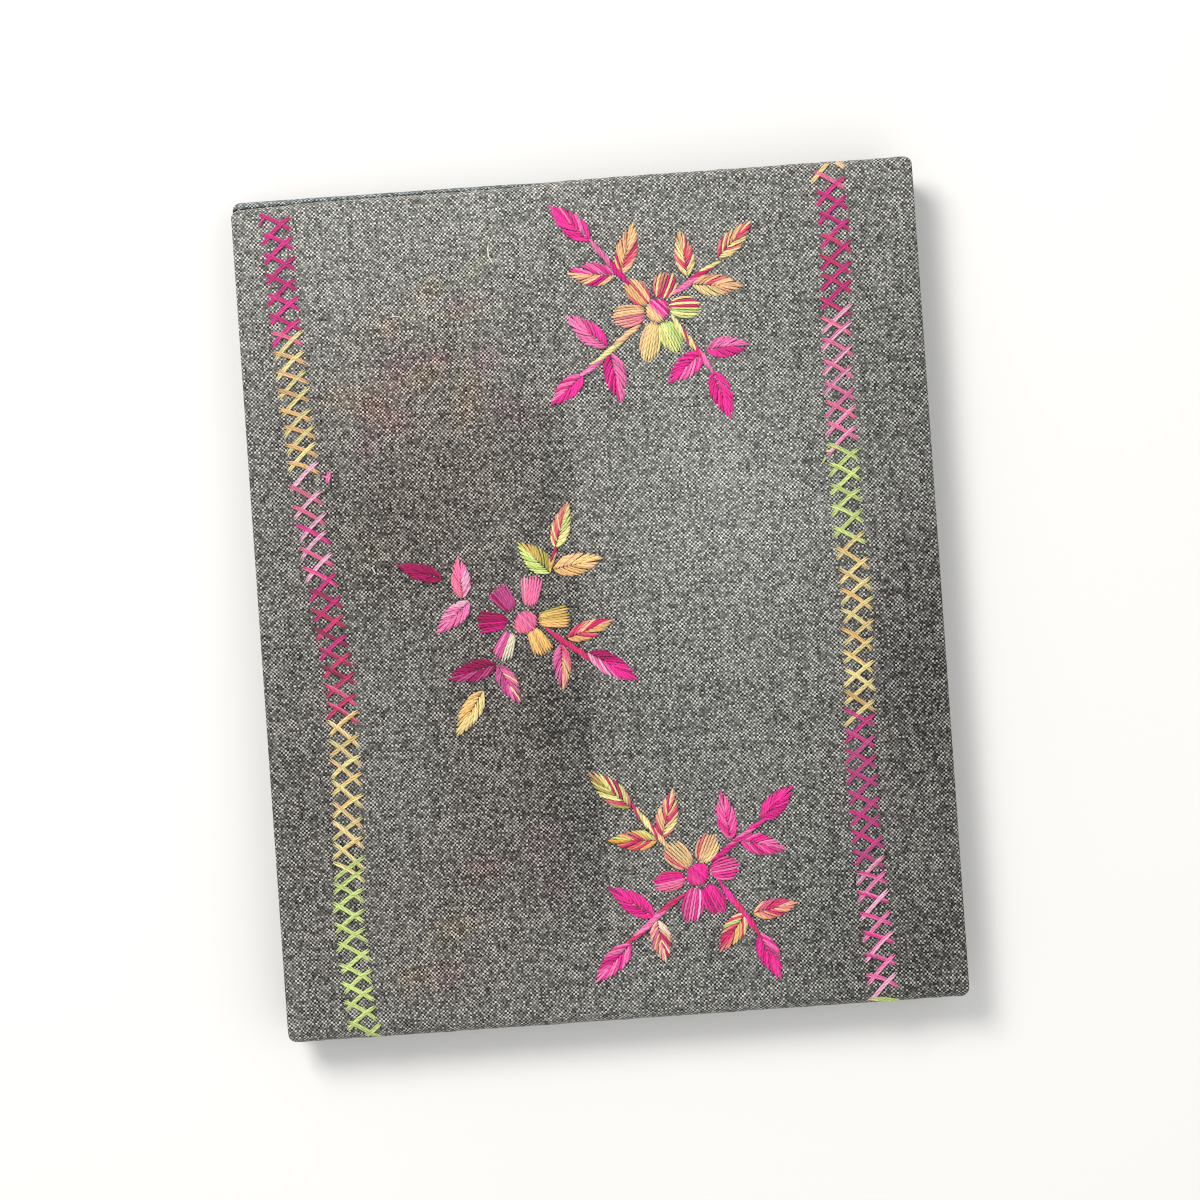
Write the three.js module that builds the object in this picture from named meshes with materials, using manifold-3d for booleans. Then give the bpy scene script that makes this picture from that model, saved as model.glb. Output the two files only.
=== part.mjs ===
// A handwoven wool shawl, folded in three across its width and in seven along its length, lying on
// its back. The face is embroidered with two lengthwise herringbone bands and three flower sprays.
// Millimetres, +Z up. The origin is at the middle of the underside, X runs across the shawl and Y
// along it, towards the fold at its head.
import * as THREE from 'three';
import { mergeVertices } from 'three/addons/utils/BufferGeometryUtils.js';
import Module from 'manifold-3d';

const wasm = await Module();
wasm.setup();

// ---------------------------------------------------------------- driving sizes

const SHAWL = { width: 700, length: 2016 };
const FOLDED_IN = { across: 3, along: 7 };
const CLOTH = 1;   // thickness of one layer
const GAP = 0.3;   // between pieces

const HALF_WIDTH = SHAWL.width / FOLDED_IN.across / 2;
const HALF_LENGTH = SHAWL.length / FOLDED_IN.along / 2;
const BUNDLE = FOLDED_IN.across * CLOTH;     // height of one length of the shawl, folded across
const HEIGHT = FOLDED_IN.along * BUNDLE;
const LIP = 2 * CLOTH;                       // height of a lengthwise fold, two layers deep
const LIP_ROUND = 0.7;                       // rounding of that fold
const TROUGH_ROOM = 0.45;                    // under the face, for its troughs
const RELIEF_FADE = 12;                      // the face's creases die out this near a fold

// The outer radius of a fold around a number of bundles, and how far its lower arm runs back.
const HEAD_FOLD = { radius: BUNDLE, arm: 8 };
const FOOT_FOLD = { radius: 1.5 * BUNDLE, arm: 10 };
const SECOND_FOLD = { radius: BUNDLE, arm: 18 };
const BASE_FOLD = { radius: BUNDLE, arm: 10 };

const SECOND_LEVEL = HEIGHT - 2 * HEAD_FOLD.radius - GAP;   // the top of the second fold

// Where the folds at the head end, from the left edge to the right one. At the left the face is
// set back, so that the second fold shows behind it.
const HEAD_EDGES = [
  { x: -HALF_WIDTH, face: HALF_LENGTH - 2.4, second: HALF_LENGTH + 1.1 },
  { x: -88, face: HALF_LENGTH - 1.4, second: HALF_LENGTH + 1.1 },
  { x: -22, face: HALF_LENGTH - 1.2, second: HALF_LENGTH + 1.0 },
  { x: 0, face: HALF_LENGTH + 0.1, second: HALF_LENGTH + 0.6 },
  { x: HALF_WIDTH, face: HALF_LENGTH + 0.2, second: HALF_LENGTH - 1.6 },
];

// Soft ridges and troughs of the face, each along a line from (x, y) to (toX, toY).
const FACE_CREASES = [
  { x: -6, y: 72, toX: -4, toY: -66, spread: 13, height: 0.3 },
  { x: -52, y: -6, toX: -38, toY: -92, spread: 16, height: -0.32 },
  { x: 108, y: -20, toX: 102, toY: -104, spread: 13, height: -0.34 },
  { x: -70, y: 92, toX: -22, toY: 40, spread: 18, height: -0.22 },
  { x: 22, y: 22, toX: 78, toY: 16, spread: 18, height: 0.28 },
  { x: -112, y: -124, toX: -100, toY: -134, spread: 6, height: 0.25 },
];

// How far the edges of each bundle lie inside the packet's outline, from the lowest to the highest.
const BUNDLES = [
  { left: 1.5, right: 2.2, head: 3.4, foot: 5.2 },
  { left: 2.4, right: 1.6, head: 2.0, foot: 5.0 },
  { left: 1.7, right: 1.9, head: 1.9, foot: 2.2 },
  { left: 2.1, right: 1.5, head: 4.6, foot: 2.0 },
  { left: 1.6, right: 2.3, head: 4.8, foot: 6.4 },
  { left: 2.3, right: 1.8, head: 5.6, foot: 6.0 },
  { left: 1.6, right: 1.6, head: 5.8, foot: 6.2 },
];
const BUNDLE_ROUND = 1.1;      // how deep the groove between two bundles is
const BASE_SET_IN = { head: 1.2, foot: 0.5 };
const CORNER = 4;              // radius of the packet's corners, seen from above

// ---------------------------------------------------------------- embroidery

// Heights of worked thread above its underside, at its sides and along its middle.
const RAISED = { edge: 0.35, ridge: 0.8 };
const RAISED_DISC = { edge: 0.5, ridge: 0.95 };
const RAISED_STEM = { edge: 0.3, ridge: 0.65 };
// Widths at the ends and the widest place. A petal is cut off between two shares of a half circle.
const DISC = { diameter: 7.4, end: 0.8 };
const PETAL = { start: 2.8, width: 7.2, end: 1.6, from: 0.12, to: 0.92, fullness: 1.2 };
const LEAF = { width: 7.6, end: 0.9, fullness: 0.8, tuck: 1.4 };   // tuck: how far it runs under its stem
const STEM_WIDTH = 1.8;

// The sprays. Petals point away from the flower's middle. A stem starts at (x, y) from that
// middle, and so does a leaf. Angles are in degrees, anticlockwise from +X.
const SPRAY_TOP = {
  middle: { x: 26.5, y: 97.3 },
  petals: [
    { angle: 127, reach: 15.0 }, { angle: 69, reach: 13.5 }, { angle: -4, reach: 15.2 },
    { angle: -68, reach: 15.8 }, { angle: -106, reach: 18.0 }, { angle: -174, reach: 16.2 },
  ],
  stems: [
    { x: -8.0, y: 8.3, angle: 128.8, length: 22.5 },
    { x: 3.6, y: 3.7, angle: 33.6, length: 22.4 },
    { x: -5.0, y: -3.0, angle: -141.5, length: 29.3 },
    { x: 3.2, y: -0.6, angle: -55.6, length: 27.0 },
  ],
  leaves: [
    { x: -21.3, y: 25.3, angle: 136, length: 18.8 },
    { x: -13.7, y: 12.9, angle: 174, length: 16.4 },
    { x: -11.7, y: 13.4, angle: 72, length: 18.6 },
    { x: 21.7, y: 16.7, angle: 44, length: 17.2 },
    { x: 11.1, y: 10.8, angle: 96, length: 16.3 },
    { x: 13.0, y: 8.5, angle: -6, length: 17.0 },
    { x: -26.9, y: -20.3, angle: -141, length: 15.3 },
    { x: -18.0, y: -11.6, angle: 138, length: 18.0 },
    { x: -17.2, y: -13.1, angle: -81, length: 18.2 },
    { x: 17.4, y: -22.1, angle: -73, length: 17.5 },
    { x: 15.6, y: -14.9, angle: 3, length: 15.2 },
    { x: 14.5, y: -15.3, angle: -143, length: 16.0 },
  ],
};
const SPRAY_BOTTOM = {
  middle: { x: 26.8, y: -95.7 },
  petals: [
    { angle: 133, reach: 13.8 }, { angle: 65, reach: 14.4 }, { angle: 8, reach: 14.8 },
    { angle: -63, reach: 15.8 }, { angle: -103, reach: 16.4 }, { angle: -170, reach: 15.2 },
  ],
  stems: [
    { x: -7.0, y: 6.8, angle: 128, length: 23.4 },
    { x: 3.0, y: 2.3, angle: 36.2, length: 25.8 },
    { x: -4.0, y: -4.5, angle: -140.3, length: 28.0 },
    { x: 4.4, y: 0.4, angle: -54.8, length: 27.2 },
  ],
  leaves: [
    { x: -21.2, y: 24.2, angle: 136, length: 19.2 },
    { x: -13.0, y: 12.5, angle: 176, length: 16.8 },
    { x: -11.4, y: 13.4, angle: 73, length: 17.0 },
    { x: 22.8, y: 17.0, angle: 43, length: 16.1 },
    { x: 12.1, y: 10.4, angle: 98, length: 17.5 },
    { x: 15.2, y: 10.4, angle: -15, length: 16.3 },
    { x: -24.4, y: -21.9, angle: -136, length: 18.2 },
    { x: -15.9, y: -13.6, angle: 143, length: 18.8 },
    { x: -15.0, y: -14.2, angle: -82, length: 15.2 },
    { x: 19.5, y: -21.4, angle: -69, length: 17.6 },
    { x: 17.6, y: -14.8, angle: 9, length: 16.0 },
    { x: 15.5, y: -14.2, angle: -128, length: 16.4 },
  ],
};

// The middle spray has a stem on one branch only, so its leaves stand in groups.
const SPRAY_MIDDLE = { x: -25.9, y: -5.9 };
const MIDDLE_GROUPS = {
  spray_middle_flower: {
    petals: [
      { angle: 123, reach: 15.0 }, { angle: 75, reach: 15.0 }, { angle: 5, reach: 15.0 },
      { angle: -62, reach: 12.8 }, { angle: -130, reach: 15.0 }, { angle: 177, reach: 16.7 },
    ],
    stems: [{ x: 5.4, y: -2.0, angle: -35.5, length: 21.5 }],
    leaves: [
      { x: 13.8, y: -6.9, angle: 18, length: 17.0 },
      { x: 11.8, y: -8.1, angle: -91, length: 16.0 },
      { x: 21.6, y: -12.6, angle: -33, length: 19.4 },
    ],
  },
  spray_middle_upper_right: {
    petals: [],
    stems: [{ x: 10.4, y: 16.0, angle: 80, length: 9.6 }],
    leaves: [
      { x: 9.8, y: 16.2, angle: 133, length: 15.5 },
      { x: 10.7, y: 17.4, angle: 9, length: 17.6 },
      { x: 11.9, y: 24.6, angle: 71, length: 16.6 },
    ],
  },
  spray_middle_upper_left: {
    petals: [],
    stems: [{ x: -21.0, y: 11.0, angle: -48, length: 3.8 }],
    leaves: [
      { x: -20.7, y: 10.6, angle: 93, length: 13.6 },
      { x: -18.9, y: 8.3, angle: -141, length: 15.6 },
    ],
  },
  spray_middle_upper_left_tip: {
    petals: [],
    stems: [],
    leaves: [{ x: -27.3, y: 16.8, angle: 159, length: 16.3 }],
  },
  spray_middle_lower_left: {
    petals: [],
    stems: [{ x: -11.4, y: -12.6, angle: -60, length: 2.4 }],
    leaves: [
      { x: -10.9, y: -13.5, angle: -167, length: 17.6 },
      { x: -10.3, y: -13.9, angle: -65, length: 15.2 },
    ],
  },
  spray_middle_lower_left_tip: {
    petals: [],
    stems: [],
    leaves: [{ x: -16.0, y: -22.1, angle: -124, length: 18.4 }],
  },
};

// Herringbone stitches cross their band by turns, falling to the right and to the left, and run
// this far along it. The bands bend a little.
const HERRINGBONE = { width: 10.4, toRight: 6.8, toLeft: 9.2, pitch: 6.93, thread: 1.6, height: 0.75 };
const BAND_LEFT = [
  { y: 150, x: -102 }, { y: 95, x: -100.4 }, { y: 31, x: -96.5 }, { y: -21, x: -90.4 },
  { y: -55, x: -90.3 }, { y: -103, x: -93.1 }, { y: -150, x: -90 },
];
const BAND_RIGHT = [
  { y: 150, x: 88.4 }, { y: 114, x: 88.6 }, { y: 83, x: 86.7 }, { y: 28, x: 86.1 },
  { y: -6, x: 87.5 }, { y: -68, x: 84.8 }, { y: -116, x: 86.2 }, { y: -150, x: 87.8 },
];

const COLOURS = {
  cloth: 0x7d7a74, layers: 0x6f6c66, bandLeft: 0xd2557a, bandRight: 0xe08098,
  sprayTop: 0xdc4b78, sprayMiddle: 0xb4325f, sprayBottom: 0xd83f7f,
};
const WOOL = { roughness: 0.9, metalness: 0 };

// ---------------------------------------------------------------- small helpers

const radians = THREE.MathUtils.degToRad;
const lerp = THREE.MathUtils.lerp;

/** The value of a column at a place along a table's key, straight between its rows. */
function readTable(rows, key, place, column) {
  const rising = rows[0][key] < rows[rows.length - 1][key] ? rows : [...rows].reverse();
  const after = rising.findIndex((row) => row[key] > place);
  if (after === 0) return rising[0][column];
  if (after < 0) return rising[rising.length - 1][column];
  const [a, b] = [rising[after - 1], rising[after]];
  return lerp(a[column], b[column], (place - a[key]) / (b[key] - a[key]));
}

/** Numbers from start to end in a number of equal steps, both ends included. */
function steps(start, end, count) {
  return Array.from({ length: count + 1 }, (_, i) => lerp(start, end, i / count));
}

/** A mesh from points and triangles, turned so that its faces point outwards. */
function solidMesh(name, points, triangles, colour) {
  const geometry = new THREE.BufferGeometry();
  geometry.setFromPoints(points);
  const volume = triangles.reduce((sum, [a, b, c]) => (
    sum + points[a].dot(new THREE.Vector3().crossVectors(points[b], points[c]))), 0);
  geometry.setIndex(triangles.flatMap(([a, b, c]) => (volume > 0 ? [a, b, c] : [a, c, b])));
  geometry.computeVertexNormals();
  const mesh = new THREE.Mesh(geometry, new THREE.MeshStandardMaterial({ color: colour, ...WOOL }));
  mesh.name = name;
  return mesh;
}

/** The triangles that join a row of equal closed rings, with both ends closed by endFaces. */
function loftTriangles(ringCount, ringSize, endFaces) {
  const triangles = [];
  for (let i = 0; i < ringCount - 1; i++) {
    for (let j = 0; j < ringSize; j++) {
      const [a, b] = [i * ringSize + j, i * ringSize + (j + 1) % ringSize];
      triangles.push([a, b, b + ringSize], [a, b + ringSize, a + ringSize]);
    }
  }
  const last = (ringCount - 1) * ringSize;
  for (const [a, b, c] of endFaces) {
    triangles.push([a, c, b], [last + a, last + b, last + c]);
  }
  return triangles;
}

/** A solid for joining and cutting. */
function toSolid(points, triangles) {
  const { geometry } = solidMesh('', points, triangles, COLOURS.cloth);
  geometry.deleteAttribute('normal');
  const merged = mergeVertices(geometry, 1e-4);
  return new wasm.Manifold(new wasm.Mesh({
    numProp: 3,
    vertProperties: new Float32Array(merged.attributes.position.array),
    triVerts: new Uint32Array(merged.index.array),
  }));
}

/** The points and triangles of a joined or cut solid. */
function fromSolid(solid) {
  const { vertProperties, triVerts } = solid.getMesh();
  const points = [];
  for (let i = 0; i < vertProperties.length; i += 3) {
    points.push(new THREE.Vector3().fromArray(vertProperties, i));
  }
  const triangles = [];
  for (let i = 0; i < triVerts.length; i += 3) triangles.push(Array.from(triVerts.subarray(i, i + 3)));
  return { points, triangles };
}

// ---------------------------------------------------------------- folded sheets

/** How far the face rises or sinks at a place, from its creases. */
function faceRelief(x, y) {
  return FACE_CREASES.reduce((sum, crease) => {
    const start = new THREE.Vector3(crease.x, crease.y, 0);
    const line = new THREE.Line3(start, new THREE.Vector3(crease.toX, crease.toY, 0));
    const place = new THREE.Vector3(x, y, 0);
    const away = line.closestPointToPoint(place, true, new THREE.Vector3()).distanceTo(place);
    return sum + crease.height * Math.exp(-((away / crease.spread) ** 2));
  }, 0);
}

// A sheet lies flat at a level, facing up or down, and may turn over at a fold at either end.
const FACE_SHEET = {
  level: HEIGHT,
  facing: 1,
  relief: faceRelief,
  head: { ...HEAD_FOLD, edge: (x) => readTable(HEAD_EDGES, 'x', x, 'face') },
  foot: { ...FOOT_FOLD, edge: () => -HALF_LENGTH },
};
const SECOND_SHEET = {
  level: SECOND_LEVEL,
  facing: 1,
  relief: () => 0,
  head: { ...SECOND_FOLD, edge: (x) => readTable(HEAD_EDGES, 'x', x, 'second') },
  foot: { radius: 0, arm: 0, edge: () => HALF_LENGTH - SECOND_FOLD.arm - SECOND_FOLD.radius },
};
const BASE_SHEET = {
  level: 0,
  facing: -1,
  relief: () => 0,
  head: { radius: 0, arm: 0, edge: () => HALF_LENGTH - BASE_SET_IN.head },
  foot: { ...BASE_FOLD, edge: () => -HALF_LENGTH + BASE_SET_IN.foot },
};

/**
 * The place and outward normal of a sheet's outer surface. along is y on the flat stretch, and the
 * length of the cloth goes on being counted round a fold and back along its arm.
 */
function sheetAt(sheet, x, along) {
  const end = along > 0 || sheet.foot.radius === 0 ? 1 : -1;
  const fold = end > 0 ? sheet.head : sheet.foot;
  const bendStart = fold.edge(x) - end * fold.radius;
  const past = end * (along - bendStart);
  const place = new THREE.Vector3(x, along, sheet.level);
  const normal = new THREE.Vector3(0, 0, sheet.facing);
  if (past > 0 && fold.radius > 0) {
    const turn = Math.min(past / fold.radius, Math.PI);
    const armRun = Math.max(past - Math.PI * fold.radius, 0);
    place.y = bendStart + end * (fold.radius * Math.sin(turn) - armRun);
    place.z -= sheet.facing * fold.radius * (1 - Math.cos(turn));
    normal.set(0, end * Math.sin(turn), sheet.facing * Math.cos(turn));
  }
  const fade = THREE.MathUtils.smoothstep(-past, 0, RELIEF_FADE);
  return { place: place.addScaledVector(normal, sheet.relief(x, along) * fade), normal };
}

/** How far along the cloth each section of a sheet lies, for one place across it. */
function sectionPlaces(sheet, x, counts) {
  const places = [];
  for (const [fold, end] of [[sheet.foot, -1], [sheet.head, 1]]) {
    const bendStart = fold.edge(x) - end * fold.radius;
    const bendEnd = bendStart + end * Math.PI * fold.radius;
    const side = fold.radius > 0
      ? [...steps(bendStart, bendEnd, counts.fold), bendEnd + end * fold.arm]
      : [bendStart];
    places.push(end < 0 ? side.reverse() : side);
  }
  const [foot, head] = places;
  const flat = steps(foot[foot.length - 1], head[0], counts.flat);
  return [...foot, ...flat.slice(1, -1), ...head];
}

/** A cloth wall with its lengthwise edges folded over by LIP, through sections across it. */
function foldedSheet(name, sheet, counts, colour) {
  const outside = [
    { x: -HALF_WIDTH, depth: LIP },
    { x: -HALF_WIDTH, depth: LIP_ROUND },
    ...steps(-HALF_WIDTH + LIP_ROUND, HALF_WIDTH - LIP_ROUND, counts.across).map((x) => ({ x, depth: 0 })),
    { x: HALF_WIDTH, depth: LIP_ROUND },
    { x: HALF_WIDTH, depth: LIP },
  ];
  const limit = HALF_WIDTH - CLOTH;
  const inside = outside.map(({ x, depth }) => ({
    x: THREE.MathUtils.clamp(x, -limit, limit),
    depth: Math.min(depth + CLOTH, depth === LIP ? LIP : CLOTH + LIP_ROUND / 2),
  }));
  for (const row of inside) {
    if (Math.abs(row.x) < limit) row.depth = CLOTH;
  }
  const ring = [...outside, ...inside.reverse()];
  const perRing = ring.map(({ x }) => sectionPlaces(sheet, x, counts));
  const sectionCount = perRing[0].length;
  const points = [];
  for (let section = 0; section < sectionCount; section++) {
    ring.forEach(({ x, depth }, j) => {
      const { place, normal } = sheetAt(sheet, x, perRing[j][section]);
      points.push(place.addScaledVector(normal, -depth));
    });
  }
  const endFaces = [];
  for (let j = 0; j < outside.length - 1; j++) {
    const back = ring.length - 1 - j;
    endFaces.push([j, j + 1, back - 1], [j, back - 1, back]);
  }
  return solidMesh(name, points, loftTriangles(sectionCount, ring.length, endFaces), colour);
}

// ---------------------------------------------------------------- hidden layers

/** A rounded rectangle, the outline of the hidden layers at one level. */
function layerOutline({ left, right, head, foot }, z) {
  const corners = [
    { x: HALF_WIDTH - right - CORNER, y: HALF_LENGTH - head - CORNER, from: 0 },
    { x: -HALF_WIDTH + left + CORNER, y: HALF_LENGTH - head - CORNER, from: 90 },
    { x: -HALF_WIDTH + left + CORNER, y: -HALF_LENGTH + foot + CORNER, from: 180 },
    { x: HALF_WIDTH - right - CORNER, y: -HALF_LENGTH + foot + CORNER, from: 270 },
  ];
  return corners.flatMap(({ x, y, from }) => steps(from, from + 90, 3).map((degrees) => new THREE.Vector3(
    x + CORNER * Math.cos(radians(degrees)), y + CORNER * Math.sin(radians(degrees)), z)));
}

/** The hidden layers: one rounded solid with a groove between bundles, slotted for the folds' arms. */
function innerLayers() {
  const bottom = CLOTH + GAP;
  const top = HEIGHT - CLOTH - GAP - TROUGH_ROOM;
  const perBundle = 4;
  const levels = steps(bottom, top, FOLDED_IN.along * perBundle);
  const points = levels.flatMap((z) => {
    const at = THREE.MathUtils.clamp(z / BUNDLE, 0, FOLDED_IN.along - 1e-6);
    const bulge = Math.sqrt(Math.max(0, 1 - (2 * (at % 1) - 1) ** 2));
    const row = BUNDLES[Math.floor(at)];
    const pinch = BUNDLE_ROUND * (1 - bulge);
    return layerOutline({
      left: row.left + pinch,
      right: row.right + pinch,
      head: row.head + pinch,
      foot: row.foot + pinch,
    }, z);
  });
  const ringSize = points.length / levels.length;
  const fan = Array.from({ length: ringSize - 2 }, (_, i) => [0, i + 1, i + 2]);
  const body = toSolid(points, loftTriangles(levels.length, ringSize, fan));

  const slotAcross = 2 * HALF_WIDTH + 10;
  const behindArm = 4;   // how far a slot goes on past its arm
  const secondBottom = SECOND_LEVEL - 2 * SECOND_FOLD.radius;
  const footBottom = HEIGHT - 2 * FOOT_FOLD.radius;
  const baseTop = 2 * BASE_FOLD.radius;
  const slots = [
    { end: 1, fold: SECOND_FOLD, low: SECOND_LEVEL - CLOTH, high: SECOND_LEVEL },
    { end: 1, fold: SECOND_FOLD, low: secondBottom, high: secondBottom + CLOTH },
    { end: 1, fold: HEAD_FOLD, low: SECOND_LEVEL + GAP, high: SECOND_LEVEL + GAP + CLOTH },
    { end: -1, fold: FOOT_FOLD, low: footBottom, high: footBottom + CLOTH },
    { end: -1, fold: BASE_FOLD, low: baseTop - CLOTH, high: baseTop },
  ];
  const slotted = slots.reduce((solid, slot) => {
    const deep = slot.fold.arm + slot.fold.radius + behindArm;
    const box = new THREE.BoxGeometry(slotAcross, 2 * deep, slot.high - slot.low + 2 * GAP).toNonIndexed();
    box.translate(0, slot.end * HALF_LENGTH, (slot.high + slot.low) / 2);
    const corners = [];
    for (let i = 0; i < box.attributes.position.count; i++) {
      corners.push(new THREE.Vector3().fromBufferAttribute(box.attributes.position, i));
    }
    const faces = Array.from({ length: corners.length / 3 }, (_, i) => [3 * i, 3 * i + 1, 3 * i + 2]);
    return solid.subtract(toSolid(corners, faces));
  }, body);
  const { points: outline, triangles } = fromSolid(slotted);
  return solidMesh('inner_layers', outline, triangles, COLOURS.layers);
}

// ---------------------------------------------------------------- worked thread

/**
 * A low ridge of worked thread along a path of (x, along) points, as a solid in the flat cloth's own
 * space: x across, y along, z above the cloth. widthAt gives its width at a share of its length. Its
 * sides stand as high as edge and its middle as high as ridge.
 */
function threadRidge(path, widthAt, { edge, ridge }) {
  const section = edge > 0
    ? [[1, 0], [1, edge], [0, ridge], [-1, edge], [-1, 0]]
    : [[1, 0], [0, ridge], [-1, 0]];
  const rings = path.map((point, i) => {
    const [before, after] = [path[Math.max(i - 1, 0)], path[Math.min(i + 1, path.length - 1)]];
    const direction = after.clone().sub(before).normalize();
    const halfWidth = widthAt(i / (path.length - 1)) / 2;
    const across = new THREE.Vector2(-direction.y, direction.x).multiplyScalar(halfWidth);
    return section.map(([side, height]) => new THREE.Vector3(
      point.x + side * across.x, point.y + side * across.y, height));
  });
  const fan = section.slice(2).map((_, i) => [0, i + 1, i + 2]);
  return toSolid(rings.flat(), loftTriangles(rings.length, section.length, fan));
}

/** A straight path from a point, in a direction given in degrees. */
function straightPath(x, y, angle, length, count) {
  const direction = new THREE.Vector2(Math.cos(radians(angle)), Math.sin(radians(angle)));
  return steps(0, length, count).map((run) => new THREE.Vector2(x, y).addScaledVector(direction, run));
}

/** The width of a leaf or a petal at a share of its length. */
function roundedWidth({ width, end, from = 0, to = 1, fullness }, share) {
  return end + (width - end) * Math.sin(Math.PI * lerp(from, to, share)) ** fullness;
}

const leafWidth = (share) => roundedWidth(LEAF, share);
const petalWidth = (share) => roundedWidth(PETAL, share);
const discWidth = (share) => DISC.end + DISC.diameter * Math.sqrt(Math.max(0, 1 - (2 * share - 1) ** 2));

/** A group of petals, stems and leaves around a flower's middle, joined into one solid. */
function sprigSolid(middle, { petals, stems, leaves }) {
  const pieces = [];
  for (const { angle, reach } of petals) {
    const from = straightPath(middle.x, middle.y, angle, PETAL.start, 1)[1];
    const path = straightPath(from.x, from.y, angle, reach - PETAL.start, 5);
    pieces.push(threadRidge(path, petalWidth, RAISED));
  }
  if (petals.length) {
    const start = middle.x - DISC.diameter / 2;
    pieces.push(threadRidge(straightPath(start, middle.y, 0, DISC.diameter, 6), discWidth, RAISED_DISC));
  }
  for (const { x, y, angle, length } of stems) {
    const path = straightPath(middle.x + x, middle.y + y, angle, length, Math.ceil(length / 8));
    pieces.push(threadRidge(path, () => STEM_WIDTH, RAISED_STEM));
  }
  for (const { x, y, angle, length } of leaves) {
    const base = straightPath(middle.x + x, middle.y + y, angle + 180, LEAF.tuck, 1)[1];
    pieces.push(threadRidge(straightPath(base.x, base.y, angle, length + LEAF.tuck, 5), leafWidth, RAISED));
  }
  return wasm.Manifold.union(pieces);
}

/**
 * One lengthwise band of crossing herringbone stitches, joined into one solid. It runs over the
 * folds at the head and the foot as far as their outermost line.
 */
function herringboneSolid(bandLine) {
  const { width, toRight, toLeft, pitch, thread, height } = HERRINGBONE;
  const between = (pitch + toRight - toLeft) / 2;   // from the head of one stitch to that of the next
  const headEdge = FACE_SHEET.head.edge(bandLine[0].x);
  const headBend = headEdge - HEAD_FOLD.radius;
  const footBend = -HALF_LENGTH + FOOT_FOLD.radius;
  const end = headBend + HEAD_FOLD.radius * Math.PI / 2;
  const start = footBend - FOOT_FOLD.radius * Math.PI / 2;
  const stitches = [];
  const footOf = (i) => end - Math.floor(i / 2) * pitch - (i % 2 ? between + toLeft : toRight);
  for (let i = 0; footOf(i) > start; i++) {
    const [slant, run, foot] = [i % 2 ? 1 : -1, i % 2 ? toLeft : toRight, footOf(i)];
    const onFold = foot + run > headBend || foot < footBend;
    const path = steps(-0.5, 0.5, onFold ? 8 : 1).map((share) => {
      const along = foot + run * (share + 0.5);
      return new THREE.Vector2(readTable(bandLine, 'y', along, 'x') + slant * width * share, along);
    });
    stitches.push(threadRidge(path, () => thread, { edge: 0, ridge: height }));
  }
  return wasm.Manifold.union(stitches);
}

/** Lays a solid made in the flat cloth's own space on the face, just clear of it. */
function layOnFace(name, solid, colour) {
  const { points, triangles } = fromSolid(solid);
  const laid = points.map((point) => {
    const { place, normal } = sheetAt(FACE_SHEET, point.x, point.y);
    return place.addScaledVector(normal, GAP + point.z);
  });
  return solidMesh(name, laid, triangles, colour);
}

// ---------------------------------------------------------------- the shawl

const shawl = new THREE.Group();

const facePanel = foldedSheet('face_panel', FACE_SHEET, { across: 16, flat: 20, fold: 6 }, COLOURS.cloth);
const secondFold = foldedSheet('second_fold', SECOND_SHEET, { across: 8, flat: 2, fold: 6 }, COLOURS.cloth);
const basePanel = foldedSheet('base_panel', BASE_SHEET, { across: 4, flat: 3, fold: 6 }, COLOURS.cloth);
shawl.add(facePanel, secondFold, basePanel, innerLayers());

shawl.add(
  layOnFace('band_left', herringboneSolid(BAND_LEFT), COLOURS.bandLeft),
  layOnFace('band_right', herringboneSolid(BAND_RIGHT), COLOURS.bandRight),
  layOnFace('spray_top', sprigSolid(SPRAY_TOP.middle, SPRAY_TOP), COLOURS.sprayTop),
  layOnFace('spray_bottom', sprigSolid(SPRAY_BOTTOM.middle, SPRAY_BOTTOM), COLOURS.sprayBottom),
);
for (const [name, group] of Object.entries(MIDDLE_GROUPS)) {
  shawl.add(layOnFace(name, sprigSolid(SPRAY_MIDDLE, group), COLOURS.sprayMiddle));
}

export default shawl;
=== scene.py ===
"""A handwoven wool shawl, folded into a flat packet and lying on its back.

The cloth is a grey melange plain weave. Two lengthwise bands of herringbone stitch and three flower
sprays are worked on its face in wool that changes colour along its length. Charts are in
millimetres: x runs across the shawl and y along it, towards the fold at its head.
"""

import math
import random

import bpy
import numpy as np
from bpy.props import FloatProperty, FloatVectorProperty, IntProperty, PointerProperty
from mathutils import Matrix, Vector


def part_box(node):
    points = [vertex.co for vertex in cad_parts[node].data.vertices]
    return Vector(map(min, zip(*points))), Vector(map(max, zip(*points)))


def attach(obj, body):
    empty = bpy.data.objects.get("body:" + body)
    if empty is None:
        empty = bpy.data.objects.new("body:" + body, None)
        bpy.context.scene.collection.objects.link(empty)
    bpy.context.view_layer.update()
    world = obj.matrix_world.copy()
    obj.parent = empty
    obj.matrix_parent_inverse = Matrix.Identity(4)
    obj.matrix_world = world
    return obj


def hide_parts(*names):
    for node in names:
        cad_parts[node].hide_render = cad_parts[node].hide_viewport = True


bl_info = {
    "name": "Folded Wool Shawl",
    "version": (1, 0, 0),
    "blender": (4, 5, 0),
    "location": "View3D > Sidebar > Shawl",
    "description": "Weaves, folds and embroiders a wool shawl",
    "category": "Object",
}

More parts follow.
